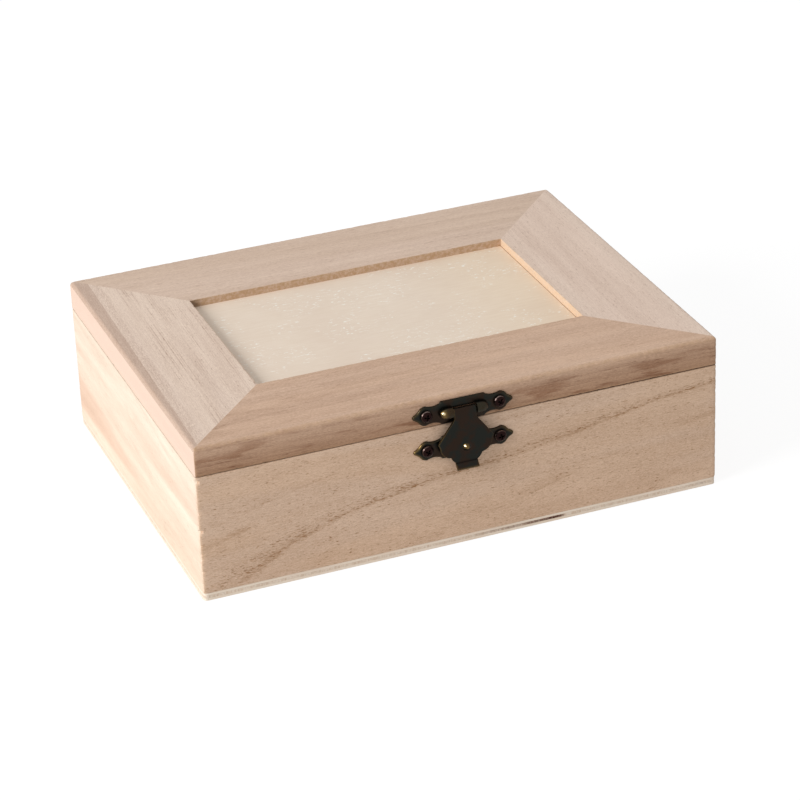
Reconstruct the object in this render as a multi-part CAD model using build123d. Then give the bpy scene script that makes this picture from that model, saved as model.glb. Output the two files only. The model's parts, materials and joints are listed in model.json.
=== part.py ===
from build123d import *
import os
from math import cos, radians, sin, tan

# A hinged photo storage box in thin wood: four mitred boards on a plywood bottom, and a
# lid made as a mitred picture frame round a recessed panel. Two small butt hinges stand
# outside the back, and a stamped hasp closes the front. Millimetres; +X along the front,
# +Y to the back, +Z up, with the origin at the centre of the underside.

# --- box ---
box_length = 200.0        # along the front
box_depth = 151.0         # front to back
board_height = 46.3
wall = 8.0                # thickness of the four boards
bottom_thick = 3.0        # plywood, flush with the boards' outer faces
bottom_corner_round = 1.5
corner_round = 0.8        # eased upright corners
rim_round = 0.7           # eased top edge of the boards
seam_gap = 0.3            # between rim and closed lid

# --- lid ---
lid_thick = 11.1
rail_width = 37.3         # front and back members, as seen from above
stile_width = 36.4        # left and right members
lip_thick = 3.0           # wood left over the panel's edge, so also the recess's depth
rabbet_width = 6.0        # how far the panel runs under the lip
panel_thick = 3.0
panel_fit = 0.25          # side play of the panel in its rabbet
top_round = 1.4           # eased top edge of the lid
lid_foot_round = 0.3      # eased lower edge of the lid

# --- brads through the bottom ---
brad_radius = 0.6
brad_head_radius = 1.1
brad_head_thick = 0.5
brad_length = 14.0
brad_sink = 0.1           # head above the underside
brads_long_side = 3
brads_short_side = 2
brad_end_inset = 24.0     # from the box's end to the first brad of a row

# --- small wood screws ---
thread_radius = 1.1
core_radius = 0.8
thread_pitch = 0.9
tip_cover = 2.0           # wood left between a screw's tip and the inside of a board
pilot_gap = 0.05          # round a thread or a brad in the wood
hole_gap = 0.15           # round a thread in sheet metal
hasp_head_radius = 2.25
hasp_head_height = 1.6
hinge_head_radius = 1.8
hinge_head_height = 0.85
cross_width = 0.5         # the cross recess, across one of its arms
cross_rim = 0.8           # from the ends of the cross to the edge of the head

# --- hinges ---
hinge_inset = 40.0        # from the box's end to the middle of a hinge
hinge_length = 25.0
hinge_thick = 0.8
hinge_margin = 1.35       # from a leaf's edge to the lid's eased top edge
hinge_corner_round = 1.5
hinge_screw_spacing = 16.0
pin_radius = 0.75
pin_fit = 0.05            # running play of the knuckles on the pin
pin_head_radius = 1.25
pin_head_thick = 0.3
knuckles = 5              # odd: the outer ones belong to the box
moving_gap = 0.3          # between pieces that move past each other

# --- hasp and catch, stamped sheet ---
hasp_shift = -0.2         # from the middle of the front, along X
sheet = 0.8
plate_foot = 0.2          # from the hasp plate down to the lid's lower edge
plate_head = 2.0          # and up to the lid's top
catch_drop = 8.9          # from the rim down to the middle of the catch
middle_half = 8.2         # half the length of a plate's tall middle
ear_step = 0.7            # how much lower the ears stand than the middle, above and below
waist_dip = 0.55          # the hollow between the middle and the ear
screw_reach = 14.0        # from a plate's middle to each screw
shoulder_reach = 2.5      # from the screw to where the ear turns in towards its tip
shoulder_drop = 1.1
tip_reach = 5.2           # from the screw to the pointed tip
tip_half = 0.9
tip_length = 0.6

# --- the barrel on the hasp plate and the bar in it ---
barrel_radius = 2.05      # outside of the half-round barrel
barrel_half = 9.3         # half its length
bar_radius = 1.35         # the leaf's top, rolled from its own sheet
bar_fit = 0.1             # running play of the bar in the barrel
bar_half = 8.0            # half the bar's length, inside the barrel's round ends
window_rise = 2.3         # the leaf's window, above and below the bar's middle
window_drop = 2.0

# --- the hasp's leaf ---
neck_half = 4.2           # half its width in the window
neck_length = 2.3         # from the bar's middle to where it widens
flare_half = 6.2          # half its width where the flare runs straight
flare_drop = 5.35
leaf_half = 10.7          # half its width at the pointed shoulders
leaf_shoulder = 2.4       # from the dimple's middle up to the shoulders
hip_half = 9.9            # half its width beside the dimple
cusp_half = 6.0           # the notch between shield and lower lobe
cusp_drop = 3.55
lobe_half = 3.8
lobe_drop = 6.1
dimple_radius = 2.0
dimple_height = 1.2
stud_radius = 2.2         # the catch's stud, behind the dimple
stud_gap = 0.35           # from the stud to the leaf
tab_half = 4.2            # the finger tab
tab_drop = 6.1            # from the dimple's middle to where the tab bends outward
tab_bend = 0.7            # radius of its bend
tab_turn = 42.0           # degrees
tab_tail = 2.45           # straight lip after the bend

# --- places worked out from the sizes above ---
half_length = box_length / 2
half_depth = box_depth / 2
rim_z = bottom_thick + board_height
seam_z = rim_z + seam_gap / 2
lid_z = rim_z + seam_gap
top_z = lid_z + lid_thick
panel_top_z = top_z - lip_thick
window_x = half_length - stile_width
window_y = half_depth - rail_width
screw_grip = wall - tip_cover
hinge_x = half_length - hinge_inset
knuckle_radius = pin_radius + pin_fit + hinge_thick
hinge_out = knuckle_radius + moving_gap            # pin's middle from the back face
leaf_reach = lid_thick + seam_gap / 2 - top_round - hinge_margin
notch_reach = knuckle_radius + moving_gap          # a hinge leaf's edge beside a knuckle
flat_reach = notch_reach + moving_gap + hinge_thick / 2
hinge_screw_height = (flat_reach + leaf_reach) / 2
plate_half = (lid_thick - plate_foot - plate_head) / 2
plate_z = lid_z + plate_foot + plate_half
ear_half = plate_half - ear_step
catch_z = rim_z - catch_drop
bar_out = bar_radius + moving_gap                  # bar's middle from the lid's front face
leaf_lift = bar_out + bar_radius - sheet           # from the wood to the back of the leaf
dimple_y = catch_z - plate_z                       # leaf's dimple below the bar


def on_front(x, z):
    """Where a piece drawn flat (x right, y up, z outward) goes on the front face."""
    return Pos(x, -half_depth, z) * Rot(90, 0, 0)


def on_back(x, z):
    """The same on the back face, as seen from behind."""
    return Pos(x, half_depth, z) * Rot(0, 0, 180) * Rot(90, 0, 0)


def block(x0, x1, y0, y1, z0, z1):
    """A box between corner planes."""
    middle = Pos((x0 + x1) / 2, (y0 + y1) / 2, (z0 + z1) / 2)
    return middle * Box(x1 - x0, y1 - y0, z1 - z0)


def upright_rod(radius, z0, z1):
    """A round rod along Z between two heights."""
    return Pos(0, 0, (z0 + z1) / 2) * Cylinder(radius, z1 - z0)


def cross_rod(radius, length, z=0):
    """A round rod along X, centred, at height z."""
    return Pos(0, 0, z) * Rot(0, 90, 0) * Cylinder(radius, length)


def low_dome(radius, rise):
    """A flat-bottomed dome on z = 0."""
    ball = (radius ** 2 + rise ** 2) / (2 * rise)
    return Pos(0, 0, rise - ball) * Sphere(ball) & upright_rod(radius, 0, rise)


def group(solids):
    """Like pieces that share one name."""
    return Compound(children=list(solids))


# ---------------------------------------------------------------- wooden box and lid
def eased_slab(z0, z1, upright, upper, lower):
    """The box's whole plan between two heights, with its outer edges eased."""
    slab = block(-half_length, half_length, -half_depth, half_depth, z0, z1)
    slab = fillet(slab.edges().filter_by(Axis.Z), upright)
    if upper:
        slab = fillet(slab.faces().sort_by(Axis.Z)[-1].edges(), upper)
    if lower:
        slab = fillet(slab.faces().sort_by(Axis.Z)[0].edges(), lower)
    return slab


def mitre_wedge(side, run_x, run_y):
    """The part of the plan that one mitred member takes. Each mitre runs in from an outer
    corner, run_y inward for every run_x along."""
    over = wall / 2
    outer_x, outer_y = half_length + over * run_x / run_y, half_depth + over
    reach = 1 + over / run_y
    inner_x, inner_y = half_length - reach * run_x, half_depth - reach * run_y
    rail = [(-outer_x, -outer_y), (outer_x, -outer_y), (inner_x, -inner_y), (-inner_x, -inner_y)]
    stile = [(-outer_x, -outer_y), (-inner_x, -inner_y), (-inner_x, inner_y), (-outer_x, outer_y)]
    points = {
        "front": rail,
        "back": [(x, -y) for x, y in rail],
        "left": stile,
        "right": [(-x, y) for x, y in stile],
    }[side]
    plan = make_face(Polyline(*points, close=True))
    return extrude(plan, top_z, dir=(0, 0, 1))


def mitred(ring, run_x, run_y):
    """The four members that a ring is cut into, by side."""
    sides = ("front", "back", "left", "right")
    return {side: ring & mitre_wedge(side, run_x, run_y) for side in sides}


def screw_holes(front_z, back_z):
    """Holes for a plate's screws on the front and for the hinge screws on the back."""
    hole = upright_rod(thread_radius + pilot_gap, -screw_grip - pilot_gap, sheet)
    places = [on_front(hasp_shift + side * screw_reach, front_z) for side in (-1, 1)]
    places += [on_back(x, back_z) for x in hinge_screw_xs()]
    return [place * hole for place in places]


def make_boards():
    """The four boards of the box."""
    ring = eased_slab(bottom_thick, rim_z, corner_round, rim_round, 0)
    inner_x, inner_y = half_length - wall, half_depth - wall
    ring -= block(-inner_x, inner_x, -inner_y, inner_y, 0, top_z)
    ring -= screw_holes(catch_z, seam_z - hinge_screw_height)
    hole = upright_rod(brad_radius + pilot_gap, 0, brad_sink + brad_length + pilot_gap)
    ring -= [Pos(x, y, 0) * hole for x, y in brad_spots()]
    return {side + "_board": board for side, board in mitred(ring, wall, wall).items()}


def make_lid_frame():
    """The four members of the lid, rabbeted from below for the panel."""
    ring = eased_slab(lid_z, top_z, corner_round, top_round, lid_foot_round)
    ring -= block(-window_x, window_x, -window_y, window_y, lid_z, top_z)
    x, y = window_x + rabbet_width, window_y + rabbet_width
    ring -= block(-x, x, -y, y, lid_z, panel_top_z)
    ring -= screw_holes(plate_z, seam_z + hinge_screw_height)
    members = mitred(ring, stile_width, rail_width)
    return {"frame_" + side: member for side, member in members.items()}


def make_panel():
    """The lid's panel, glued up against the lip."""
    x = window_x + rabbet_width - panel_fit
    y = window_y + rabbet_width - panel_fit
    return {"picture_panel": block(-x, x, -y, y, panel_top_z - panel_thick, panel_top_z)}


def brad_spots():
    """Plan positions of the brads, on the middle line of each board."""
    line_x, line_y = half_length - wall / 2, half_depth - wall / 2
    end_x, end_y = half_length - brad_end_inset, half_depth - brad_end_inset
    spots = []
    for side in (-1, 1):
        for i in range(brads_long_side):
            spots.append((end_x * (2 * i / (brads_long_side - 1) - 1), side * line_y))
        for i in range(brads_short_side):
            spots.append((side * line_x, end_y * (2 * i / (brads_short_side - 1) - 1)))
    return spots


def make_bottom():
    """The plywood bottom and the brads that hold it."""
    panel = eased_slab(0, bottom_thick, bottom_corner_round, 0, 0)
    head_top = brad_sink + brad_head_thick
    hole = upright_rod(brad_radius + pilot_gap, 0, bottom_thick)
    hole += upright_rod(brad_head_radius + pilot_gap, 0, head_top)
    brad = upright_rod(brad_head_radius, brad_sink, head_top)
    brad += upright_rod(brad_radius, brad_sink, brad_sink + brad_length)
    places = [Pos(x, y, 0) for x, y in brad_spots()]
    panel -= [place * hole for place in places]
    return {"bottom_panel": panel, "bottom_brads": group(place * brad for place in places)}


# ---------------------------------------------------------------- screws
def screw(head_radius, head_height, plate):
    """A wood screw along Z through a plate that lies on z = 0, its point downward."""
    point = 2 * core_radius
    profile = [(0, plate), (core_radius, plate), (core_radius, 0)]
    for turn in range(int((screw_grip - point) / thread_pitch)):
        profile += [
            (thread_radius, -(turn + 0.75) * thread_pitch),
            (core_radius, -(turn + 1) * thread_pitch),
        ]
    profile += [(core_radius, point - screw_grip), (0, -screw_grip)]
    section = Plane.XZ * make_face(Polyline(*profile, close=True))
    head = low_dome(head_radius, head_height)
    arm = 2 * (head_radius - cross_rim)
    for turn in (0, 90):
        slot = Rot(0, 0, turn) * Box(arm, cross_width, head_height)
        head -= Pos(0, 0, head_height) * slot
    return revolve(section, Axis.Z) + Pos(0, 0, plate) * head


def plate_screws(z):
    """The two screws of the hasp plate or the catch plate."""
    one = screw(hasp_head_radius, hasp_head_height, sheet)
    return group(on_front(hasp_shift + side * screw_reach, z) * one for side in (-1, 1))


def hinge_screws(z):
    """The four screws that hold both hinges to the box or to the lid."""
    one = screw(hinge_head_radius, hinge_head_height, hinge_thick)
    return group(on_back(x, z) * one for x in hinge_screw_xs())


# ---------------------------------------------------------------- hinges
def hinge_screw_xs():
    """x of every hinge screw, both hinges."""
    half = hinge_screw_spacing / 2
    return [side * hinge_x + end * half for side in (-1, 1) for end in (-1, 1)]


def knuckle_spans(first):
    """x ranges of every other knuckle: first is 0 for the box's leaf, 1 for the lid's."""
    length = (hinge_length - (knuckles - 1) * moving_gap) / knuckles
    pitch = length + moving_gap
    starts = [i * pitch - hinge_length / 2 for i in range(first, knuckles, 2)]
    return [(start, start + length) for start in starts]


def hinge_leaf(first):
    """A hinge leaf drawn flat: x along the pin, y away from the seam, z out of the wood.
    Its sheet lies on the wood and steps out to its own knuckles."""
    side = [
        (0, moving_gap), (notch_reach, moving_gap), (flat_reach, 0), (leaf_reach, 0),
        (leaf_reach, hinge_thick), (flat_reach, hinge_thick),
        (notch_reach, hinge_thick + moving_gap), (0, hinge_thick + moving_gap),
    ]
    section = Plane.YZ * make_face(Polyline(*side, close=True))
    leaf = extrude(section, hinge_length / 2, both=True)
    corners = leaf.edges().filter_by(Axis.Z).group_by(Axis.Y)[-1]
    leaf = fillet(corners, hinge_corner_round)
    leaf += cross_rod(knuckle_radius, hinge_length, hinge_out)
    for x0, x1 in knuckle_spans(1 - first):
        x0, x1 = x0 - moving_gap, x1 + moving_gap
        leaf -= block(x0, x1, -notch_reach, notch_reach, 0, 2 * hinge_out)
    leaf -= cross_rod(pin_radius + pin_fit, hinge_length, hinge_out)
    hole = upright_rod(thread_radius + hole_gap, 0, hinge_thick)
    half = hinge_screw_spacing / 2
    return leaf - [Pos(x, hinge_screw_height, 0) * hole for x in (-half, half)]


def hinge_pin():
    """The pin along X, peened at both ends."""
    pin = cross_rod(pin_radius, hinge_length, hinge_out)
    for end in (-1, 1):
        head = cross_rod(pin_head_radius, pin_head_thick, hinge_out)
        pin += Pos(end * (hinge_length + pin_head_thick) / 2, 0, 0) * head
    return pin


def make_hinges():
    """Both hinges, their pins and their screws."""
    upside_down = Rot(0, 0, 180)
    parts = {}
    for name, x in (("left", -hinge_x), ("right", hinge_x)):
        place = on_back(x, seam_z)
        parts["hinge_" + name + "_box_leaf"] = place * upside_down * hinge_leaf(0)
        parts["hinge_" + name + "_lid_leaf"] = place * hinge_leaf(1)
        parts["hinge_" + name + "_pin"] = place * hinge_pin()
    parts["hinge_box_screws"] = hinge_screws(seam_z - hinge_screw_height)
    parts["hinge_lid_screws"] = hinge_screws(seam_z + hinge_screw_height)
    return parts


# ---------------------------------------------------------------- hasp and catch
def plate_outline():
    """The outline that hasp plate and catch plate share: a tall middle, and two ears that
    narrow in double curves to pointed tips."""
    top = (middle_half, plate_half)
    step = (middle_half + ear_step, ear_half)
    crown = (screw_reach + hole_gap, ear_half)
    shoulder = (screw_reach + shoulder_reach, ear_half - shoulder_drop)
    tip = screw_reach + tip_reach
    notch = (tip - tip_length, tip_half)
    waist = ((step[0] + crown[0]) / 2, ear_half - waist_dip)
    bulge = (shoulder[0] - shoulder_drop, ear_half - shoulder_drop / 4)
    hollow = ((shoulder[0] + notch[0]) / 2 - tip_length / 2, (shoulder[1] + notch[1]) / 2)
    quarter = make_face(Wire([
        Line((0, 0), (0, plate_half)),
        Line((0, plate_half), top),
        Line(top, step),
        ThreePointArc(step, waist, crown),
        ThreePointArc(crown, bulge, shoulder),
        ThreePointArc(shoulder, hollow, notch),
        ThreePointArc(notch, (tip - tip_length / 4, tip_half / 2), (tip, 0)),
        Line((tip, 0), (0, 0)),
    ]))
    right = quarter + mirror(quarter, Plane.XZ)
    return right + mirror(right, Plane.YZ)


def stamped_plate():
    """The flat plate with its two screw holes."""
    hole = upright_rod(thread_radius + hole_gap, 0, sheet)
    plate = extrude(plate_outline(), sheet, dir=(0, 0, 1))
    return plate - [Pos(x, 0, 0) * hole for x in (-screw_reach, screw_reach)]


def make_hasp_plate():
    """The lid's plate. A half-round barrel along it, closed at both ends and open behind
    a window, holds the leaf's bar."""
    straight = 2 * (barrel_half - barrel_radius)
    barrel = cross_rod(barrel_radius, straight, bar_out)
    for side in (-1, 1):
        barrel += Pos(side * straight / 2, 0, bar_out) * Sphere(barrel_radius)
    front = bar_out + barrel_radius
    barrel &= block(-barrel_half, barrel_half, -barrel_radius, barrel_radius, 0, front)
    hollow = bar_half + moving_gap
    channel = bar_radius + bar_fit
    gap = neck_half + moving_gap
    plate = stamped_plate() + barrel
    plate -= cross_rod(channel, 2 * hollow, bar_out)
    plate -= block(-hollow, hollow, -channel, channel, 0, bar_out)
    plate -= block(-gap, gap, -window_drop, window_rise, 0, front)
    return {"hasp_plate": on_front(hasp_shift, plate_z) * plate}


def make_catch_plate():
    """The box's plate, with the raised stud that the leaf's dimple sits over."""
    stud = Pos(0, 0, sheet) * low_dome(stud_radius, leaf_lift - stud_gap - sheet)
    return {"catch_plate": on_front(hasp_shift, catch_z) * (stamped_plate() + stud)}


def leaf_outline():
    """The leaf from the front, about the bar's middle: a neck, a shield with pointed
    shoulders, a lower lobe and the finger tab."""
    neck = (neck_half, -neck_length)
    flare = (flare_half, -flare_drop)
    bend = ((neck_half + flare_half) / 2 - sheet / 4, -(neck_length + flare_drop) / 2)
    shoulder = (leaf_half, dimple_y + leaf_shoulder)
    hip = (hip_half, dimple_y)
    notch = ((leaf_half + hip_half) / 2 - sheet / 4, dimple_y + leaf_shoulder / 2)
    cusp = (cusp_half, dimple_y - cusp_drop)
    belly = (hip_half - sheet, dimple_y - cusp_drop / 2)
    lobe = (lobe_half, dimple_y - lobe_drop)
    round_lobe = (cusp_half - sheet / 2, dimple_y - (cusp_drop + lobe_drop) / 2 + sheet / 2)
    tab = (tab_half, dimple_y - tab_drop)
    tab_end = dimple_y - tab_drop - tab_bend - tab_tail - sheet
    right = make_face(Wire([
        Line((0, 0), (neck_half, 0)),
        Line((neck_half, 0), neck),
        ThreePointArc(neck, bend, flare),
        Line(flare, shoulder),
        ThreePointArc(shoulder, notch, hip),
        ThreePointArc(hip, belly, cusp),
        ThreePointArc(cusp, round_lobe, lobe),
        Line(lobe, tab),
        Line(tab, (tab_half, tab_end)),
        Line((tab_half, tab_end), (0, tab_end)),
        Line((0, tab_end), (0, 0)),
    ]))
    return right + mirror(right, Plane.YZ)


def leaf_sheet():
    """The leaf's strip, as wide as the shoulders: flat down from the front of the rolled
    bar, and bent outward at the tab."""
    flat_z = leaf_lift + sheet / 2
    turn = radians(tab_turn)
    tangent = tab_bend * tan(turn / 2)
    corner_y = dimple_y - tab_drop - tangent
    end = (corner_y - (tangent + tab_tail) * cos(turn), flat_z + (tangent + tab_tail) * sin(turn))
    path = FilletPolyline((0, flat_z), (corner_y, flat_z), end, radius=tab_bend)
    section = Plane.YZ * trace(path, line_width=sheet)
    return extrude(section, leaf_half, both=True)


def make_leaf():
    """The swinging leaf: its strip cut to the outline, the rolled bar at its top, and the
    dimple pressed outward."""
    front = leaf_lift + sheet + tab_bend + tab_tail + sheet
    leaf = leaf_sheet() & extrude(leaf_outline(), front, dir=(0, 0, 1))
    leaf += cross_rod(bar_radius, 2 * bar_half, bar_out)
    leaf -= cross_rod(bar_radius - sheet, 2 * bar_half, bar_out)
    leaf += Pos(0, dimple_y, leaf_lift + sheet) * low_dome(dimple_radius, dimple_height)
    leaf -= Pos(0, dimple_y, leaf_lift) * low_dome(dimple_radius - sheet / 4, dimple_height)
    return {"hasp_leaf": on_front(hasp_shift, plate_z) * leaf}


def main():
    """Write one STEP file for each named piece."""
    parts = {}
    for make in (make_boards, make_bottom, make_lid_frame, make_panel, make_hinges,
                 make_hasp_plate, make_catch_plate, make_leaf):
        parts.update(make())
    parts["hasp_plate_screws"] = plate_screws(plate_z)
    parts["catch_plate_screws"] = plate_screws(catch_z)
    os.makedirs("parts", exist_ok=True)
    for name, part in parts.items():
        export_step(part, "parts/" + name + ".step")


main()
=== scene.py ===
import json
from math import atan2, ceil, cos, exp, pi, radians, sin, sqrt

import bmesh
import bpy
import numpy as np
from bpy.props import FloatProperty, FloatVectorProperty, IntProperty, PointerProperty
from mathutils import Matrix, Vector, noise
from mathutils.geometry import delaunay_2d_cdt


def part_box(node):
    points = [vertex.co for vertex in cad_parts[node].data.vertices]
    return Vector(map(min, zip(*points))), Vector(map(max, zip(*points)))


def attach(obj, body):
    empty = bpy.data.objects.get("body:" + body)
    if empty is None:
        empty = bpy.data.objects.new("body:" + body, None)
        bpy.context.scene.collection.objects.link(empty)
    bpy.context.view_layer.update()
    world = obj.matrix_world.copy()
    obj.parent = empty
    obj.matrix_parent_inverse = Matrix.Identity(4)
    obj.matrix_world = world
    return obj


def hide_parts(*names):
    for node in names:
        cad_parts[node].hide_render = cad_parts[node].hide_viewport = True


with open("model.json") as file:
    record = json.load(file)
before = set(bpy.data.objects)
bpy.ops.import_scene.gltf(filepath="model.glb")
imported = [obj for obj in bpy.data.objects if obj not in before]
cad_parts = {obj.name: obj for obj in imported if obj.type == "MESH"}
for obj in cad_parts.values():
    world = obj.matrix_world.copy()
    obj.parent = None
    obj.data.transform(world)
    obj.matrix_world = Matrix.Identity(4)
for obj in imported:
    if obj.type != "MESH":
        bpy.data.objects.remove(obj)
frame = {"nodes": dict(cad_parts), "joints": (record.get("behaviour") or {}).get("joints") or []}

bl_info = {
    "name": "Photo storage box",
    "version": (1, 0, 0),
    "blender": (4, 5, 0),
    "location": "View3D > Sidebar > Photo box",
    "description": "Dresses a hinged wooden photo box: grained boards, plywood, stamped hasp and studio",
    "category": "Object",
}

MM = 0.001
SIDES = ("front", "back", "left", "right")
BOARDS = {side: side + "_board" for side in SIDES}
FRAMES = {side: "frame_" + side for side in SIDES}
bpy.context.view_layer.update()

# ---------------------------------------------------------------- sizes read from the frame
FOOT_LOW, FOOT_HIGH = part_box("bottom_panel")
BOARD_LOW, BOARD_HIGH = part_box("front_board")
LID_LOW, LID_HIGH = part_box("frame_front")
STILE_LOW, STILE_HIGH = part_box("frame_left")
PANEL_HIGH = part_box("picture_panel")[1]
HASP_LOW, HASP_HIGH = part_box("hasp_plate")
CATCH_LOW, CATCH_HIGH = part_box("catch_plate")
JOINTS = {joint["name"]: joint for joint in frame["joints"]}
HALF_LENGTH = FOOT_HIGH.x
HALF_DEPTH = FOOT_HIGH.y
WALL = BOARD_HIGH.y - BOARD_LOW.y
RAIL = LID_HIGH.y - LID_LOW.y
STILE = STILE_HIGH.x - STILE_LOW.x
PANEL_FIT = 0.25 * MM
RABBET_X = PANEL_HIGH.x + PANEL_FIT - (HALF_LENGTH - STILE)

# ---------------------------------------------------------------- easing of the wood
CORNER_ROUND = 0.8 * MM
RIM_ROUND = 0.5 * MM
LID_TOP_ROUND = 1.4 * MM
LID_FOOT_ROUND = 0.25 * MM
SEAM_FILL = 0.05 * MM         # how far lid and body each reach into the gap between them
CUT_EASE = 0.15 * MM          # knife-edge taken off the inner arrises
CRISP = 0.02 * MM             # and off those that nobody touches
FACE_STEP = 0.7 * MM          # between mesh points up the outer faces
WIDE_STEP = 4.0 * MM          # and elsewhere

# ---------------------------------------------------------------- sheet metal
SHEET = 0.8 * MM
HASP_MIDDLE = Vector(JOINTS["hasp_swing"]["pos_m"])
BAR_OUT = -HALF_DEPTH - HASP_MIDDLE.y
CATCH_MIDDLE_Z = (CATCH_LOW.z + CATCH_HIGH.z) / 2
SCREW_REACH = 14.0 * MM


# ================================================================ node helpers
def socket(sockets, name):
    """The socket of that number, or the enabled one of that name."""
    if isinstance(name, int):
        return sockets[name]
    return next(one for one in sockets if one.name == name and one.enabled)


def sign(operation, turned=False):
    """A method that puts a Math node between a signal and what stands beside it."""
    def reckoned(self, other):
        return self.nodes.math(operation, *((other, self) if turned else (self, other)))
    return reckoned


class Signal:
    """A node's output. The signs + - * / ** and abs() add Math nodes to its tree."""

    def __init__(self, nodes, output):
        self.nodes, self.output = nodes, output

    def __abs__(self):
        return self.nodes.math("ABSOLUTE", self)

    __add__ = sign("ADD")
    __mul__ = sign("MULTIPLY")
    __pow__ = sign("POWER")
    __sub__, __rsub__ = sign("SUBTRACT"), sign("SUBTRACT", turned=True)
    __truediv__, __rtruediv__ = sign("DIVIDE"), sign("DIVIDE", turned=True)


class Nodes:
    """Short ways to add and link nodes in one tree."""

    def __init__(self, tree):
        self.tree = tree

    def feed(self, node, inputs):
        """Link signals to a node's inputs, or set the inputs' own values, by number or name."""
        for name, value in inputs.items():
            target = socket(node.inputs, name)
            if isinstance(value, Signal):
                self.tree.links.new(value.output, target)
            else:
                target.default_value = value

    def add(self, kind, inputs=None, **settings):
        """A new node, set up and fed."""
        node = self.tree.nodes.new(kind)
        for name, value in settings.items():
            setattr(node, name, value)
        self.feed(node, inputs or {})
        return node

    def outputs(self, node):
        """A node's outputs by name."""
        return {one.name: Signal(self, one) for one in node.outputs if one.name and one.enabled}

    def signal(self, kind, inputs=None, output=0, **settings):
        """The output of a new node."""
        return Signal(self, socket(self.add(kind, inputs, **settings).outputs, output))

    def math(self, operation, *values, clamp=False):
        return self.signal("ShaderNodeMath", dict(enumerate(values)), operation=operation, use_clamp=clamp)

    def ramp(self, value, low, high, to_low=0.0, to_high=1.0, smooth=True):
        """Map a value from one range to another, clamped."""
        ends = {"Value": value, "From Min": low, "From Max": high, "To Min": to_low, "To Max": to_high}
        return self.signal("ShaderNodeMapRange", ends, "Result", clamp=True,
                           interpolation_type="SMOOTHSTEP" if smooth else "LINEAR")

    def mix(self, factor, first, second, blend="MIX"):
        """Mix two colours."""
        return self.signal("ShaderNodeMix", {"Factor": factor, "A": first, "B": second}, "Result",
                           data_type="RGBA", blend_type=blend)

    def noise(self, vector, scale, detail=2.0, rough=0.5):
        inputs = {"Vector": vector, "Scale": scale, "Detail": detail, "Roughness": rough}
        return self.signal("ShaderNodeTexNoise", inputs, "Fac", noise_dimensions="3D")

    def stretched(self, vector, factors):
        """The coordinates, scaled apart along each axis."""
        return self.signal("ShaderNodeVectorMath", {0: vector, 1: factors}, operation="MULTIPLY")

    def streaks(self, vector, factors, detail, rough=0.5):
        """Noise that is drawn out along the axes."""
        return self.noise(self.stretched(vector, factors), 1.0, detail, rough)

    def in_millimetres(self, vector):
        return self.signal("ShaderNodeVectorMath", {0: vector, "Scale": 1 / MM}, operation="SCALE")

    def xyz(self, vector):
        node = self.add("ShaderNodeSeparateXYZ", {0: vector})
        return [Signal(self, one) for one in node.outputs]

    def joined_xyz(self, x=0.0, y=0.0, z=0.0):
        return self.signal("ShaderNodeCombineXYZ", {0: x, 1: y, 2: z})

    def place(self):
        """Where a point of the object is, in metres."""
        return self.signal("ShaderNodeTexCoord", output="Object")

    def mark(self, label):
        """A number that the mesh holds for each of its points."""
        return self.signal("ShaderNodeAttribute", output="Fac", attribute_name=label)


def colour(red, green, blue):
    """An opaque colour from 0 to 255 display values."""
    def linear(value):
        value /= 255
        return value / 12.92 if value <= 0.04045 else ((value + 0.055) / 1.055) ** 2.4
    return (linear(red), linear(green), linear(blue), 1.0)


def new_group(name, inputs, outputs):
    """A shader node group with its interface: (tree, nodes, what comes in, output node). A
    colour's default has four numbers, a plain number's has one, and a vector has none."""
    tree = bpy.data.node_groups.new(name, "ShaderNodeTree")
    for label, default in inputs.items():
        kind = "Vector" if default is None else "Color" if isinstance(default, tuple) else "Float"
        item = tree.interface.new_socket(label, in_out="INPUT", socket_type="NodeSocket" + kind)
        if default is not None:
            item.default_value = default
    for label, kind in outputs.items():
        tree.interface.new_socket(label, in_out="OUTPUT", socket_type="NodeSocket" + kind)
    nodes = Nodes(tree)
    return tree, nodes, nodes.outputs(nodes.add("NodeGroupInput")), nodes.add("NodeGroupOutput")


HOLLOW_SHADE = colour(20, 15, 14)             # painted shade in the creases and recesses of the metal
HIGHLIGHT_BRASS = colour(206, 190, 152)           # painted highlight: bright bare brass, where the rim mark passes 1


# ================================================================ shader groups
SWAY_LENGTH = 130.0           # mm of a log from one bow to the next
FAR_OFF = 1000.0              # mm, farther than any member reaches
FINISH_OUTPUTS = {"Color": "Color", "Height": "Float", "Roughness": "Float"}
# what a log is like where its cut doesn't say; lengths are in millimetres
GRAIN = {
    "Vector": None, "Light": (0.8, 0.6, 0.5, 1), "Warm": (0.7, 0.5, 0.4, 1), "Dark": (0.5, 0.3, 0.2, 1),
    "Bands": 0.5, "Ring Spacing": 6.0, "Ring Strength": 0.5, "Ring Shift": 0.0, "Sharpness": 8.0,
    "Wander": 0.4, "Sway": 0.0, "Bold Radius": 0.0, "Bold Line": 0.0, "Bold Zone": 0.0, "Bold Fade": 2.2,
    "Plain From": FAR_OFF, "Sand": 0.0, "Streak Off": FAR_OFF, "Streak End": 0.0, "Pores": 0.5,
    "Pore Length": 3.5, "Fibres": 0.4, "Clouds": 0.4, "Specks": 0.3,
}


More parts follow.
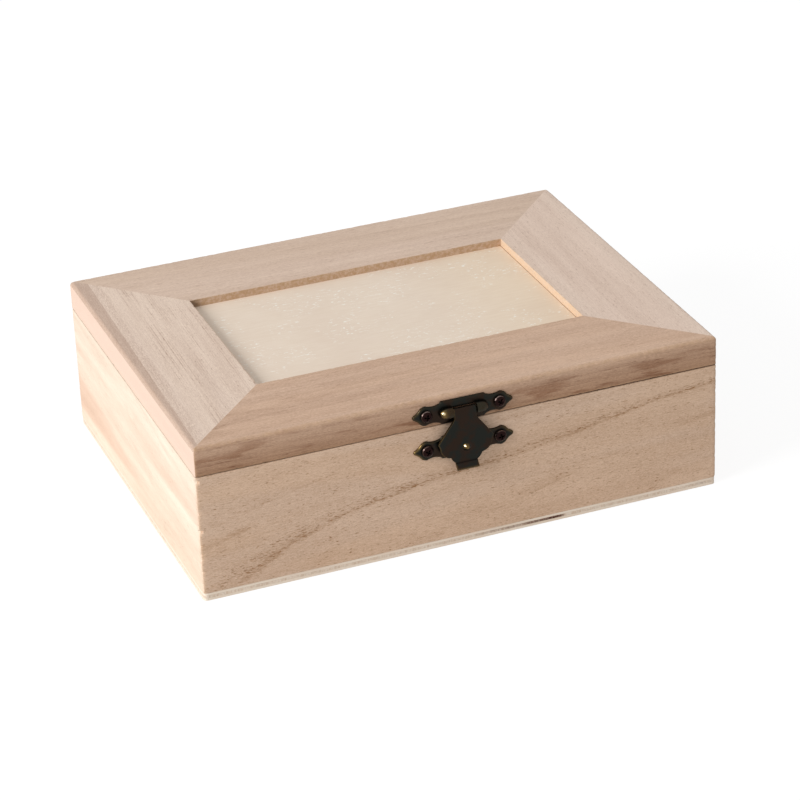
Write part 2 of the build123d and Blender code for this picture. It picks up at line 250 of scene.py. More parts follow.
def grain_group():
    """Solid wood cut from a log whose heart runs along X: rings, one bolder ring, open pores,
    fibres and slow changes of tone. All lengths inside are millimetres."""
    tree, n, put, result = new_group("ring_porous_wood", GRAIN, FINISH_OUTPUTS)
    place = n.in_millimetres(put["Vector"])
    x, y, z = n.xyz(place)
    bend = n.streaks(place, (0.012, 0.05, 0.05), 2.0)
    ripple = n.streaks(place, (0.10, 0.30, 0.30), 3.0)
    sway = n.math("COSINE", x * (2 * pi / SWAY_LENGTH))
    radius = n.math("MULTIPLY_ADD", sway, put["Sway"], n.math("SQRT", y * y + z * z))
    radius += (bend - 0.5) * (put["Wander"] * 4.0) + (ripple - 0.5) * put["Wander"]
    # every ring has its own strength, starts sharply and fades outwards
    count = radius / put["Ring Spacing"] + put["Ring Shift"]
    part = n.math("FRACT", count)
    luck = n.signal("ShaderNodeTexWhiteNoise", {"W": n.math("FLOOR", count)}, noise_dimensions="1D")
    patchy = n.ramp(n.streaks(place, (0.045, 0.25, 0.25), 2.0), 0.38, 0.62, 0.1, 1.0)
    rings = (1.0 - part) ** put["Sharpness"] * n.ramp(luck, 0.15, 1.0) * (patchy * put["Ring Strength"])
    # from some way inside the bold ring outwards the wood can be plain, without rings or pores
    off = radius - put["Bold Radius"]
    lined = n.ramp(off - put["Plain From"], -1.5, 0.5, 1.0, 0.0)
    rings *= lined
    # the bolder ring: a fine broken line, with a darker zone outside it and sand inside it
    fading = n.ramp(off, put["Bold Fade"] * 0.7, put["Bold Fade"], 1.0, 0.0)
    zone = n.ramp(off, -0.35, 0.1) * fading
    dashes = n.ramp(n.streaks(place, (0.30, 3.0, 3.0), 2.0), 0.42, 0.60, 0.1, 1.0)
    slow = n.ramp(n.streaks(place, (0.06, 0.1, 0.1), 1.0), 0.35, 0.6, 0.2, 1.0)
    core = n.ramp(abs(off), 0.05, 0.75, 1.0, 0.0) * dashes * slow
    # a short line of its own farther out, which ends where Streak End says
    past = x - put["Streak End"]
    streak = n.ramp(abs(off - put["Streak Off"]), 0.1, 0.9, 1.0, 0.0) * n.ramp(dashes, 0.0, 1.0, 0.4, 1.0)
    streak *= n.ramp(past, -16.0, -6.0, 0.45, 1.0)
    core = n.math("MAXIMUM", core, streak * n.ramp(past, -2.0, 0.0, 1.0, 0.0)) * put["Bold Line"]
    crowded = zone * put["Bold Line"]
    zone *= put["Bold Zone"]
    grit = (n.streaks(place, (0.8, 2.6, 2.6), 3.0, 0.65) - 0.42) * put["Sand"]
    sand = n.ramp(off, -5.0, -3.0) * n.ramp(off, -0.2, 0.2, 1.0, 0.0) * grit
    # open pores, seen as short dark dashes that crowd along the rings
    dash = n.joined_xyz(1.0 / put["Pore Length"], 3.4, 3.4)
    crowd = n.math("MULTIPLY_ADD", crowded + rings, 0.09, patchy * 0.04)
    pore = n.ramp(n.streaks(place, dash, 1.0) + crowd, 0.68, 0.77)
    pore = pore * put["Pores"] * n.ramp(lined, 0.0, 1.0, 0.25, 1.0)
    # fibres, fine specks, slow clouds and broad bands
    fibre = (n.streaks(place, (0.05, 2.6, 2.6), 4.0, 0.6) - 0.5) * put["Fibres"]
    speck = (n.streaks(place, (1.0, 5.0, 5.0), 2.0, 0.6) - 0.5) * put["Specks"]
    cloud = (n.streaks(place, (0.012, 0.16, 0.16), 3.0) - 0.5) * put["Clouds"]
    band = n.ramp(n.streaks(place, (0.003, 0.07, 0.07), 1.0), 0.42, 0.58) * put["Bands"]
    lines = rings * 0.5 + zone + core * 0.5
    shade = lines + pore * 0.6 + (sand + (fibre + (cloud + speck)))
    shade = n.math("ADD", shade, 0.2, clamp=True)
    n.feed(result, {
        "Color": n.mix(shade, n.mix(band, put["Light"], put["Warm"]), put["Dark"]),
        "Height": fibre + speck - pore - lines * 0.3,
        "Roughness": n.math("ADD", 0.62, shade * 0.2, clamp=True),
    })
    return tree


PLATING = {"Vector": None, "Skin": (0.03, 0.025, 0.02, 1), "Patch": (0.05, 0.04, 0.02, 1),
           "Brass": (0.4, 0.28, 0.12, 1), "Rim": 0.0, "Rub": 0.5, "Grime": 0.0, "Satin": 0.36}


def bronze_group():
    """Dark plated sheet: a brown-black skin with olive patches, rubbed to brass on rims and
    on whatever stands proud, bright brass as a painted highlight where the rim mark passes 1,
    and darker as painted shade in creases and recesses."""
    tree, n, put, result = new_group("antique_plating", PLATING, FINISH_OUTPUTS)
    place = n.in_millimetres(put["Vector"])
    patch = n.ramp(n.noise(place, 0.22, 2.0), 0.42, 0.60)
    speck = n.noise(place, 2.2, 3.0, 0.55)
    worn = put["Rim"] * n.ramp(speck, 0.25, 0.60, 0.35, 1.0)
    worn = n.math("MULTIPLY", worn, put["Rub"], clamp=True)
    clean = n.mix(worn, n.mix(patch, put["Skin"], put["Patch"]), put["Brass"])
    # where the rim mark passes 1.1 the colour turns to bright brass: a painted highlight
    clean = n.mix(n.ramp(put["Rim"], 1.1, 1.7), clean, HIGHLIGHT_BRASS)
    n.feed(result, {
        # painted shade darkens the colour in creases and recesses
        "Color": n.mix(put["Grime"], clean, HOLLOW_SHADE),
        "Height": speck * 0.3,
        "Roughness": put["Satin"] + (speck - 0.5) * 0.30 - worn * 0.15,
    })
    return tree


# ================================================================ materials
def new_material(name):
    """An empty material with its shader: (material, nodes, shader)."""
    material = bpy.data.materials.new(name)
    material.use_nodes = True
    material.node_tree.nodes.clear()
    nodes = Nodes(material.node_tree)
    shader = nodes.add("ShaderNodeBsdfPrincipled")
    shown(nodes, "Material", Signal(nodes, shader.outputs[0]))
    return material, nodes, shader


def shown(nodes, kind, surface):
    """Give a material or a world its surface."""
    nodes.add("ShaderNodeOutput" + kind, {"Surface": surface})


def bumped(nodes, height, distance, strength=1.0):
    """A normal that follows a height."""
    return nodes.signal("ShaderNodeBump", {"Strength": strength, "Distance": distance, "Height": height})


# Each member's own cut: heart is a point on the log's axis (mm), turn the axis's direction
# from +X and tip its rise (degrees); side tints the outer face, one more colour is the painted
# shade in the seam and in the window's far corner, and the names of the grain group's inputs,
# written small, set those inputs.
CUTS = {
    "front_board": dict(heart=(-94, -13.13, -8), turn=-6.79, light=(222, 193, 169), warm=(222, 189, 160),
                        dark=(155, 114, 76), ring_spacing=9.85, ring_strength=0.5, ring_shift=0.604,
                        sway=0.8, bold_radius=63.0, bold_line=0.85, bold_zone=0.05, pores=0.9,
                        pore_length=2.4, fibres=0.7, specks=0.95, streak_off=6.9, streak_end=21.0,
                        painted_shade=(100, 70, 50)),
    "back_board": dict(heart=(60, 20, 60), turn=5, light=(220, 192, 168), warm=(222, 186, 156),
                       dark=(148, 110, 80), ring_spacing=6.5, ring_strength=0.4),
    # the left board is paler: partly its own tone, partly painted light, as its lit side looks washed out
    "left_board": dict(heart=(-30, 90, 8), turn=94, tip=1, light=(241, 229, 212), warm=(235, 211, 192),
                       dark=(178, 132, 100), ring_spacing=9.0, ring_strength=0.4, ring_shift=0.3,
                       pores=0.4, bands=1.0, fibres=0.35, specks=0.15, clouds=0.6, side=(255, 250, 245)),
    "right_board": dict(heart=(40, -60, 14), turn=83, light=(222, 194, 170), warm=(222, 186, 156),
                        dark=(150, 110, 80), ring_spacing=7.5, ring_strength=0.4, ring_shift=0.1),
    "frame_front": dict(heart=(0, -57, -40), turn=0.6, tip=-0.8, light=(224, 192, 167), warm=(218, 184, 157),
                        dark=(128, 86, 58), ring_spacing=3.1, ring_strength=0.7, sharpness=2.5, wander=0.8,
                        side=(206, 190, 174), stain=0.9, fibres=0.55, specks=0.9, painted_shade=(100, 70, 50)),
    "frame_back": dict(heart=(0, 300, 30), turn=-1.2, light=(231, 207, 188), warm=(222, 197, 175),
                       dark=(150, 112, 86), ring_spacing=8.0, ring_strength=0.3, ring_shift=0.4, pores=0.5,
                       wander=1.5, fibres=0.4, clouds=0.3, specks=0.75, cut=(186, 152, 118),
                       painted_shade=(84, 62, 42)),
    "frame_left": dict(heart=(100, 0, 66), turn=88.74, light=(241, 220, 202), warm=(231, 210, 194),
                       dark=(158, 122, 100), ring_spacing=0.85, ring_strength=0.75, sharpness=2.0,
                       wander=0.15, bold_radius=196.0, bold_zone=0.36, bold_fade=12.0, plain_from=-7.5,
                       sand=1.0, pores=0.7, pore_length=2.8, specks=0.8, flank=(236, 208, 190), calm=0.7),
    "frame_right": dict(heart=(-120, 0, 40), turn=89.0, light=(243, 222, 205), warm=(239, 215, 198),
                        dark=(158, 122, 100), ring_spacing=2.6, ring_strength=0.15, sharpness=2.5,
                        wander=0.3, ring_shift=0.5, pores=0.55, pore_length=2.2, fibres=0.3, specks=0.6,
                        cut=(226, 196, 164)),
}
WHITE = (255, 255, 255)
SAWN = (190, 156, 120)                 # sawn walls and rubbed arrises are browner
# the colour of the painted shade in the seam, where a member gives none of its own
SEAM_SHADE = (124, 88, 66)
PANEL_EDGE_DARK = colour(150, 112, 76)      # a thin darker line along the panel's left and right edges
STAIN = colour(196, 172, 152)          # what the wood is multiplied by where it is stained
DULL = 0.3                             # specular level of bare wood


def wood_material(name):
    """One member's own wood, with its log placed as that member was cut."""
    cut = CUTS[name]
    material, n, shader = new_material(name + "_grain")
    log = n.signal("ShaderNodeMapping", {
        "Vector": n.place(), "Location": Vector(cut["heart"]) * MM,
        "Rotation": (0, -radians(cut.get("tip", 0)), radians(cut["turn"])),
    }, vector_type="TEXTURE")
    group = bpy.data.node_groups.get("ring_porous_wood") or grain_group()
    grain = n.add("ShaderNodeGroup", node_tree=group)
    for target in grain.inputs:
        value = cut.get(target.name.lower().replace(" ", "_"))
        if value is not None:
            target.default_value = colour(*value) if isinstance(value, tuple) else value
    n.feed(grain, {"Vector": log})
    wood = n.outputs(grain)
    arris, sawn, side, flank, seam = (n.mark(label) for label in ("arris", "sawn", "side", "flank", "seam"))
    toned = n.mix(flank * cut.get("calm", 0.0), wood["Color"], colour(*cut.get("flank", WHITE)))
    toned = n.mix(side, toned, colour(*cut.get("side", WHITE)), "MULTIPLY")
    stain = n.streaks(n.place(), (45.0, 200.0, 260.0), 3.0, 0.6)
    stain = n.ramp(stain, 0.50, 0.66, 0.0, cut.get("stain", 0.0)) * side
    toned = n.mix(stain, toned, STAIN, "MULTIPLY")
    fuzz = n.noise(n.place(), 900.0, 3.0, 0.7)
    toned = n.mix(arris * n.ramp(fuzz, 0.35, 0.65, 0.1, 0.7), toned, colour(*SAWN))
    toned = n.mix(sawn * n.ramp(fuzz, 0.35, 0.65, 0.45, 1.0), toned, colour(*cut.get("cut", SAWN)))
    # painted shade: darker in the mouth of the seam and in the window's far left corner
    painted_shade = seam * n.ramp(fuzz, 0.3, 0.7, 0.7, 1.0)
    rough = (sawn + arris * 0.6) * fuzz
    n.feed(shader, {
        "Base Color": n.mix(painted_shade, toned, colour(*cut.get("painted_shade", SEAM_SHADE))),
        "Roughness": wood["Roughness"],
        "Specular IOR Level": DULL,
        "Normal": bumped(n, wood["Height"] + rough, 0.12 * MM, 0.6),
    })
    return material


def plywood_material():
    """The bottom: pale face plies on both sides of a darker core laid across them."""
    material, n, shader = new_material("plywood_bottom")
    place = n.place()
    fibre = n.streaks(place, (40.0, 1500.0, 1500.0), 3.0, 0.6)
    cross = n.streaks(place, (1400.0, 1400.0, 300.0), 3.0, 0.6)
    cloud = n.noise(place, 45.0, 3.0)
    core, torn = n.mark("core"), n.mark("torn")
    face = n.mix(n.ramp(fibre, 0.3, 0.7, 0.0, 0.7), colour(240, 228, 212), colour(226, 206, 184))
    face = n.mix(n.ramp(cloud, 0.35, 0.65, 0.0, 0.35), face, colour(232, 210, 192))
    inner = n.mix(n.ramp(cross, 0.3, 0.7), colour(231, 216, 200), colour(211, 188, 166))
    # the torn places are dark brown: partly the torn core's own colour, partly painted shade in the voids
    inner = n.mix(torn * n.ramp(cross, 0.3, 0.6, 0.6, 1.0), inner, colour(108, 68, 50))
    n.feed(shader, {
        "Base Color": n.mix(core, face, inner),
        "Roughness": n.ramp(fibre, 0.0, 1.0, 0.62, 0.8),
        "Specular IOR Level": DULL,
        "Normal": bumped(n, cross * core + fibre, 0.10 * MM, 0.5),
    })
    return material


def panel_material():
    """The lid's panel: a smooth creamy board with short pale flecks."""
    material, n, shader = new_material("panel_board")
    place = n.place()
    cloud = n.noise(place, 30.0, 4.0, 0.55)
    fleck = n.noise(n.stretched(place, (0.5, 1.0, 1.0)), 850.0, 3.0, 0.7)
    fleck = n.ramp(fleck, 0.57, 0.66) * n.ramp(n.noise(place, 75.0, 2.0), 0.42, 0.57)
    fibre = n.streaks(place, (120.0, 900.0, 900.0), 3.0, 0.6)
    across = n.xyz(place)[0]
    edge = HALF_LENGTH - STILE
    base = n.mix(n.ramp(cloud, 0.3, 0.7), colour(240, 224, 206), colour(234, 216, 198))
    base = n.mix(n.ramp(fibre, 0.3, 0.7, 0.0, 0.2), base, colour(222, 200, 176))
    # towards the right edge the panel is warmer: painted light bounced from the lit right wall
    base = n.mix(n.ramp(across, 0.1 * edge, edge), base, colour(255, 251, 243), "MULTIPLY")
    base = n.mix(fleck, base, colour(252, 246, 236))
    # a thin darker line along the left and right edges
    darkening = n.ramp(abs(across), edge - 0.4 * MM, edge - 0.15 * MM, 0.0, 0.8)
    n.feed(shader, {
        "Base Color": n.mix(darkening, base, PANEL_EDGE_DARK),
        "Roughness": n.ramp(fibre, 0.0, 1.0, 0.6, 0.75),
        "Specular IOR Level": DULL,
        "Normal": bumped(n, fibre + fleck, 0.04 * MM, 0.4),
    })
    return material


def bronze_material(name, skin, patch, brass, rub, satin):
    """Plated sheet or screws; the rim attribute says where it is rubbed and where a highlight
    is painted, and the second attribute where painted shade darkens it."""
    material, n, shader = new_material(name)
    group = bpy.data.node_groups.get("antique_plating") or bronze_group()
    plating = n.add("ShaderNodeGroup", node_tree=group)
    n.feed(plating, {"Vector": n.place(), "Rim": n.mark("rim"), "Grime": n.mark("grime"), "Skin": skin,
                     "Patch": patch, "Brass": brass, "Rub": rub, "Satin": satin})
    coat = n.outputs(plating)
    n.feed(shader, {"Base Color": coat["Color"], "Roughness": coat["Roughness"], "Metallic": 1.0,
                    "Normal": bumped(n, coat["Height"], 0.02 * MM, 0.4)})
    return material


def steel_material():
    """Bright wire brads."""
    material, n, shader = new_material("brad_steel")
    speck = n.noise(n.place(), 2500.0, 3.0, 0.6)
    n.feed(shader, {
        "Base Color": n.mix(speck, colour(150, 148, 142), colour(190, 188, 182)),
        "Roughness": n.ramp(speck, 0.3, 0.7, 0.3, 0.5),
        "Metallic": 1.0,
        "Normal": bumped(n, speck, 0.02 * MM, 0.4),
    })
    return material


# ================================================================ mesh helpers
def new_piece(name, vertices, faces, material, attributes=None, sharp=35):
    """A mesh object at the origin, smooth but for its sharp edges."""
    mesh = bpy.data.meshes.new(name)
    mesh.from_pydata([tuple(v) for v in vertices], [], faces)
    for label, values in (attributes or {}).items():
        store = mesh.attributes.new(label, "FLOAT", "POINT")
        store.data.foreach_set("value", np.asarray(values, np.float32))
    mesh.materials.append(material)
    mesh.validate()
    finish_shading(mesh, sharp)
    return linked(name, mesh)


def linked(name, data):
    """A new object in the scene that shows a mesh, a lamp or a camera."""
    item = bpy.data.objects.new(name, data)
    bpy.context.scene.collection.objects.link(item)
    return item


def quads(rows, width, closed=True):
    """Four-sided faces between rows of points, each row a ring where they are closed."""
    faces = []
    for row in range(rows - 1):
        here, above = row * width, (row + 1) * width
        for i in range(width if closed else width - 1):
            j = (i + 1) % width
            faces.append((here + i, here + j, above + j, above + i))
    return faces


def flipped(faces):
    """The faces, turned to look the other way."""
    return [tuple(reversed(face)) for face in faces]


def finish_shading(mesh, sharp):
    mesh.polygons.foreach_set("use_smooth", [True] * len(mesh.polygons))
    mesh.set_sharp_from_angle(angle=radians(sharp))
    mesh.update()


def settle(piece, body, slot, *nodes):
    """Attach a finished piece to its body and hide the nodes that it stands for; the slot is not used."""
    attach(piece, body)
    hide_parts(*nodes)


def finish_node(name, material):
    """Finish a node that is shown as it was packed."""
    for slot in frame["nodes"][name].material_slots:
        slot.material = material


def bake(piece, sharp):
    """Make the piece's modifiers real, as a plain mesh."""
    graph = bpy.context.evaluated_depsgraph_get()
    mesh = bpy.data.meshes.new_from_object(piece.evaluated_get(graph))
    piece.modifiers.clear()
    piece.data = mesh
    finish_shading(mesh, sharp)


def softened(piece, name, angle, width, segments):
    """Bevel the edges that are sharper than an angle."""
    bevel = piece.modifiers.new(name, "BEVEL")
    bevel.limit_method = "ANGLE"
    bevel.angle_limit = radians(angle)
    bevel.width = width
    bevel.segments = segments


def arc_points(first, middle, last, steps):
    """Points of the arc through three points, without the last one."""
    (ax, ay), (bx, by), (cx, cy) = first, middle, last
    twice = 2 * (ax * (by - cy) + bx * (cy - ay) + cx * (ay - by))
    a2, b2, c2 = ax * ax + ay * ay, bx * bx + by * by, cx * cx + cy * cy
    ux = (a2 * (by - cy) + b2 * (cy - ay) + c2 * (ay - by)) / twice
    uy = (a2 * (cx - bx) + b2 * (ax - cx) + c2 * (bx - ax)) / twice
    radius = sqrt((ax - ux) ** 2 + (ay - uy) ** 2)
    start, mid, end = (atan2(p[1] - uy, p[0] - ux) for p in (first, middle, last))
    sweep = (end - start) % (2 * pi)
    if (mid - start) % (2 * pi) > sweep:
        sweep -= 2 * pi
    turns = [start + sweep * i / steps for i in range(steps)]
    return [(ux + radius * cos(t), uy + radius * sin(t)) for t in turns]


def densified(points, step):
    """The closed outline with points at most a step apart."""
    dense = []
    for (ax, ay), (bx, by) in zip(points, points[1:] + points[:1]):
        count = max(1, ceil(sqrt((bx - ax) ** 2 + (by - ay) ** 2) / step))
        dense += [(ax + (bx - ax) * i / count, ay + (by - ay) * i / count) for i in range(count)]
    return dense


# ================================================================ wooden members
NEAR_CORNER = (0.2, 0.5, 1.0, 2.0)          # mm from a section's corners, where its points crowd


def eased_profile(corners):
    """A closed section from (depth, height, radius, step) corners: arcs at the corners, and
    after each corner points that are a step apart and crowd towards its ends."""
    section = []
    count = len(corners)
    for i, (d, z, radius, step) in enumerate(corners):
        here = Vector((d, z))
        before = (Vector(corners[i - 1][:2]) - here).normalized()
        after_full = Vector(corners[(i + 1) % count][:2]) - here
        after = after_full.normalized()
        steps = 8 if radius > RIM_ROUND else 3
        centre = here + (before + after) * radius
        for k in range(steps + 1):
            turn = k / steps * pi / 2
            section.append(centre - after * radius * cos(turn) - before * radius * sin(turn))
        span = after_full.length - radius - corners[(i + 1) % count][2]
        start = here + after * radius
        near = [gap * MM for gap in NEAR_CORNER if gap * MM < min(span / 2, step * 2)]
        inner = max(0, int(span / step) - 1)
        last = near[-1] if near else 0.0
        cuts = near + [span - c for c in near]
        cuts += [c for c in (span * (k + 1) / (inner + 1) for k in range(inner)) if last < c < span - last]
        section += [start + after * c for c in sorted(set(cuts))]
    return section


def clipped(value):
    """The value, kept between 0 and 1."""
    return min(1.0, max(0.0, value))


def to_side(side, along, depth):
    """Plan position from a member's own directions: along it, and in from its outer face."""
    return {
        "front": (along, depth - HALF_DEPTH),
        "back": (-along, HALF_DEPTH - depth),
        "left": (depth - HALF_LENGTH, -along),
        "right": (HALF_LENGTH - depth, along),
    }[side]


def rounded_corner(x, y, inset):
    """Pull a plan position in to the box's eased upright corner."""
    radius = max(CORNER_ROUND - inset, 0.0)
    dx = abs(x) - (HALF_LENGTH - CORNER_ROUND)
    dy = abs(y) - (HALF_DEPTH - CORNER_ROUND)
    if dx <= 0 or dy <= 0:
        return x, y
    reach = sqrt(dx * dx + dy * dy)
    if reach <= radius:
        return x, y
    keep = radius / reach
    shift_x, shift_y = dx * (1 - keep), dy * (1 - keep)
    return x - (shift_x if x > 0 else -shift_x), y - (shift_y if y > 0 else -shift_y)


# how each kind of edge is worn, in millimetres: its ripple, its chips, how far in the wear
# reaches, and how brown it is
BATTERED = dict(ripple=0.15, chip=1.5, reach=1.8, tint=0.5)
CORNER = dict(ripple=0.15, chip=0.35, tint=0.6)
RIM = dict(ripple=0.08, chip=0.12)
LID_CORNER = dict(ripple=0.1, chip=0.15)
LID_END = dict(ripple=0.15, chip=0.1, reach=2.2, tint=0.15)
LID_FRONT = dict(ripple=0.15, chip=0.15, reach=2.2, tint=0.8)
LID_FOOT = dict(ripple=0.05, chip=0.12)
WINDOW_EDGE = dict(ripple=0.08, chip=0.15, reach=0.8, tint=0.6)
CORNERS = ((-1, -1), (1, -1), (1, 1), (-1, 1))      # from the front left round to the back left
SLOW_WAVES, NICKS, QUICK_WAVES = 180, 560, 900      # of the wear, per metre of an edge
WEAR_FADE = 0.5 * MM                                # from full wear to none at an edge's end


class Arris:
    """One edge of the wood that is worn: a line along an axis, worn towards the inside, as
    far as its half length where it has one."""

    def __init__(self, axis, point, inward, seed, ripple, chip, reach=1.1, tint=0.4, half=None):
        self.axis, self.point, self.inward = axis, Vector(point), Vector(inward).normalized()
        self.ripple, self.chip, self.reach = ripple * MM, chip * MM, reach * MM
        self.seed, self.tint, self.half = seed, tint, half

    def wear(self, place):
        """How far a place is worn, and how strongly it belongs to the arris."""
        gap = place - self.point
        along = place[self.axis]
        gap[self.axis] = 0
        near = max(0.0, 1 - gap.length / self.reach)
        if self.half is not None:
            near *= clipped((self.half - abs(along)) / WEAR_FADE)
        if near == 0:
            return Vector((0, 0, 0)), 0.0
        near = near * near * (3 - 2 * near)
        slow = noise.noise(Vector((along * SLOW_WAVES, self.seed, 0)))
        quick = noise.noise(Vector((along * QUICK_WAVES, self.seed, 5)))
        nick = max(0.0, noise.noise(Vector((along * NICKS, self.seed, 9))) - 0.05) / 0.35
        depth = self.ripple * (0.5 + 0.5 * slow + 0.35 * quick) + self.chip * min(nick, 1.0)
        return self.inward * depth * near, near * self.tint


def upright(corner, seed, wear):
    """A worn edge up one of the four corners."""
    sx, sy = CORNERS[corner]
    return Arris(2, (sx * HALF_LENGTH, sy * HALF_DEPTH, 0), (-sx, -sy, 0), seed + corner, **wear)


def level(axis, side, away, z, outwards, up, seed, wear):
    """A worn edge along X (axis 0) or Y (axis 1), on one side (-1 or 1) of the middle. The
    wood lies outwards (1) or towards the middle (-1) of it, and above (1) or below (-1)."""
    point, inward = [0, 0, z], [0, 0, up]
    point[1 - axis], inward[1 - axis] = side * away, side * outwards
    return Arris(axis, point, inward, seed + side, **wear)


def box_arrises():
    """The body's worn edges; the front left corner is the most chipped."""
    edges = [upright(i, 11, CORNER if i else BATTERED) for i in range(4)]
    edges += [level(1, s, HALF_LENGTH, BOARD_HIGH.z, -1, -1, 20, RIM) for s in (-1, 1)]
    return edges + [level(0, s, HALF_DEPTH, BOARD_HIGH.z, -1, -1, 30, RIM) for s in (-1, 1)]


def lid_arrises():
    """The lid's worn edges, round its top, its foot and its window."""
    top, foot = LID_HIGH.z, LID_LOW.z
    window_x, window_y = HALF_LENGTH - STILE, HALF_DEPTH - RAIL
    edges = [upright(i, 41, LID_CORNER) for i in range(4)]
    for s in (-1, 1):
        edges += [
            level(1, s, HALF_LENGTH, top, -1, -1, 50, LID_END),
            level(0, s, HALF_DEPTH, top, -1, -1, 60, LID_FRONT),
            level(1, s, HALF_LENGTH, foot, -1, 1, 70, LID_FOOT),
            level(0, s, HALF_DEPTH, foot, -1, 1, 80, LID_FOOT),
            level(1, s, window_x, top, 1, -1, 90, dict(WINDOW_EDGE, half=window_y)),
            level(0, s, window_y, top, 1, -1, 95, dict(WINDOW_EDGE, half=window_x)),
        ]
    return edges


def worn(place, arrises):
    """Where the wear moves a place to, and how strongly the place belongs to an arris."""
    shift, mark = Vector((0, 0, 0)), 0.0
    for edge in arrises:
        step, near = edge.wear(place)
        shift += step
        mark = max(mark, near)
    return place + shift, mark


MESH_STEP = 0.8 * MM                        # between mesh points along a member
NEAR_MITRE = (0.08, 0.2, 0.35, 0.55)        # mm from the mitres, where the points crowd
FACE_DEPTH = 1.2 * MM                       # how deep the outer face's tint reaches
SIDE_FADE = 0.65                            # how much of the tint is lost from foot to top
SEAM_DEEP, SEAM_FADE = 1.9 * MM, 0.7 * MM   # how deep the seam's painted shade goes, and how it ends there
SEAM_LEFT, SEAM_RUN = -10 * MM, 60 * MM     # in front the seam's painted shade grows stronger to the right
SEAM_ELSEWHERE = 0.6                        # and is this strong on the other sides
CORNER_SHADE_REACH = 5 * MM                         # of the painted shadow in the window's far left corner


def seam_share(depth, gap, reach):
    """How much painted shade the wood gets in the mouth of the seam: just inside the outer face,
    close to where lid and body meet."""
    if gap > reach:
        return 0.0
    return min(1.0, depth / (0.3 * MM)) * clipped((SEAM_DEEP - depth) / SEAM_FADE)


def dark_corner(x, y, z):
    """How much painted shadow darkens the window's far left corner, where the left wall shades it."""
    away = Vector((x + HALF_LENGTH - STILE, (HALF_DEPTH - RAIL - y) * 2, (PANEL_HIGH.z - z) * 0.6))
    return max(0.0, 1 - away.length / CORNER_SHADE_REACH)


def stations(half):
    """Shares of a member's half length at which its section stands."""
    count = int(2 * half / MESH_STEP)
    ends = [s * (1 - gap * MM / half) for s in (-1, 1) for gap in NEAR_MITRE]
    return sorted({-1.0, 1.0, *(i * 2 / count - 1 for i in range(1, count)), *ends})


def mitred_member(name, side, section, slope, arrises, material, sawn_depth=None):
    """One mitred member, swept along its length from mitre to mitre and worn at its edges."""
    half = HALF_LENGTH if side in ("front", "back") else HALF_DEPTH
    of_lid = name == FRAMES[side]
    top_round = LID_TOP_ROUND if of_lid else RIM_ROUND
    heights = [point[1] for point in section]
    top, foot = max(heights), min(heights)
    meeting = foot if of_lid else top
    shares = stations(half)
    vertices, marks = [], {label: [] for label in ("arris", "sawn", "side", "flank", "seam")}
    for share in shares:
        for depth, z in section:
            x, y = to_side(side, share * (half - depth * slope), depth)
            rise = max(0.0, z - (top - top_round))
            x, y = rounded_corner(x, y, top_round - sqrt(max(0.0, top_round ** 2 - rise ** 2)))
            vertex, arris = worn(Vector((x, y, z)), arrises)
            vertices.append(vertex)
            sawn = bool(sawn_depth) and depth > sawn_depth
            face = max(0.0, 1 - depth / FACE_DEPTH)
            flank = z < top - 0.9 * top_round and face > 0.95
            right = clipped((x - SEAM_LEFT) / SEAM_RUN) if side == "front" else SEAM_ELSEWHERE
            # painted shade in the mouth of the seam, and painted shadow in the window's far left corner
            painted_shade = seam_share(depth, abs(z - meeting), (0.16 + 0.15 * right) * MM)
            darkening = dark_corner(x, y, z) if sawn else 0.0
            # the outer face's tint is the wood's own tone; that it grows towards the foot is painted shade
            # above the seam
            values = (arris, float(sawn), face * (1 - SIDE_FADE * (z - foot) / (top - foot)), float(flank),
                      max(darkening, (0.35 + 0.65 * right) * painted_shade))
            for label, value in zip(marks, values):
                marks[label].append(value)
    count = len(section)
    last = (len(shares) - 1) * count
    ends = [tuple(reversed(range(count))), tuple(range(last, last + count))]
    return new_piece(name + "_wood", vertices, quads(len(shares), count) + ends, material, marks)


def board_section():
    """A board, eased at its outer top edge."""
    low, high = BOARD_LOW.z, BOARD_HIGH.z + SEAM_FILL
    return eased_profile([
        (0, high, RIM_ROUND, FACE_STEP), (0, low, CRISP, WIDE_STEP), (WALL, low, CRISP, WIDE_STEP),
        (WALL, high, CUT_EASE, WIDE_STEP),
    ])


def lid_section(width):
    """A lid member: eased top, and a rabbet behind for the panel."""
    low, high, shelf = LID_LOW.z - SEAM_FILL, LID_HIGH.z, PANEL_HIGH.z
    return eased_profile([
        (0, high, LID_TOP_ROUND, FACE_STEP), (0, low, LID_FOOT_ROUND, WIDE_STEP),
        (width - RABBET_X, low, CUT_EASE, WIDE_STEP), (width - RABBET_X, shelf, CRISP, WIDE_STEP),
        (width, shelf, CRISP, WIDE_STEP), (width, high, CUT_EASE, WIDE_STEP),
    ])


def make_boards():
    """The four boards of the body."""
    edges = box_arrises()
    for side, name in BOARDS.items():
        piece = mitred_member(name, side, board_section(), 1.0, edges, wood_material(name))
        settle(piece, "box", "solid_wood", name)


def make_lid():
    """The four members of the lid."""
    edges = lid_arrises()
    for side, name in FRAMES.items():
        width, run = (RAIL, STILE) if side in ("front", "back") else (STILE, RAIL)
        piece = mitred_member(name, side, lid_section(width), run / width, edges, wood_material(name),
                              sawn_depth=width - 0.1 * MM)
        settle(piece, "lid", "solid_wood", name)


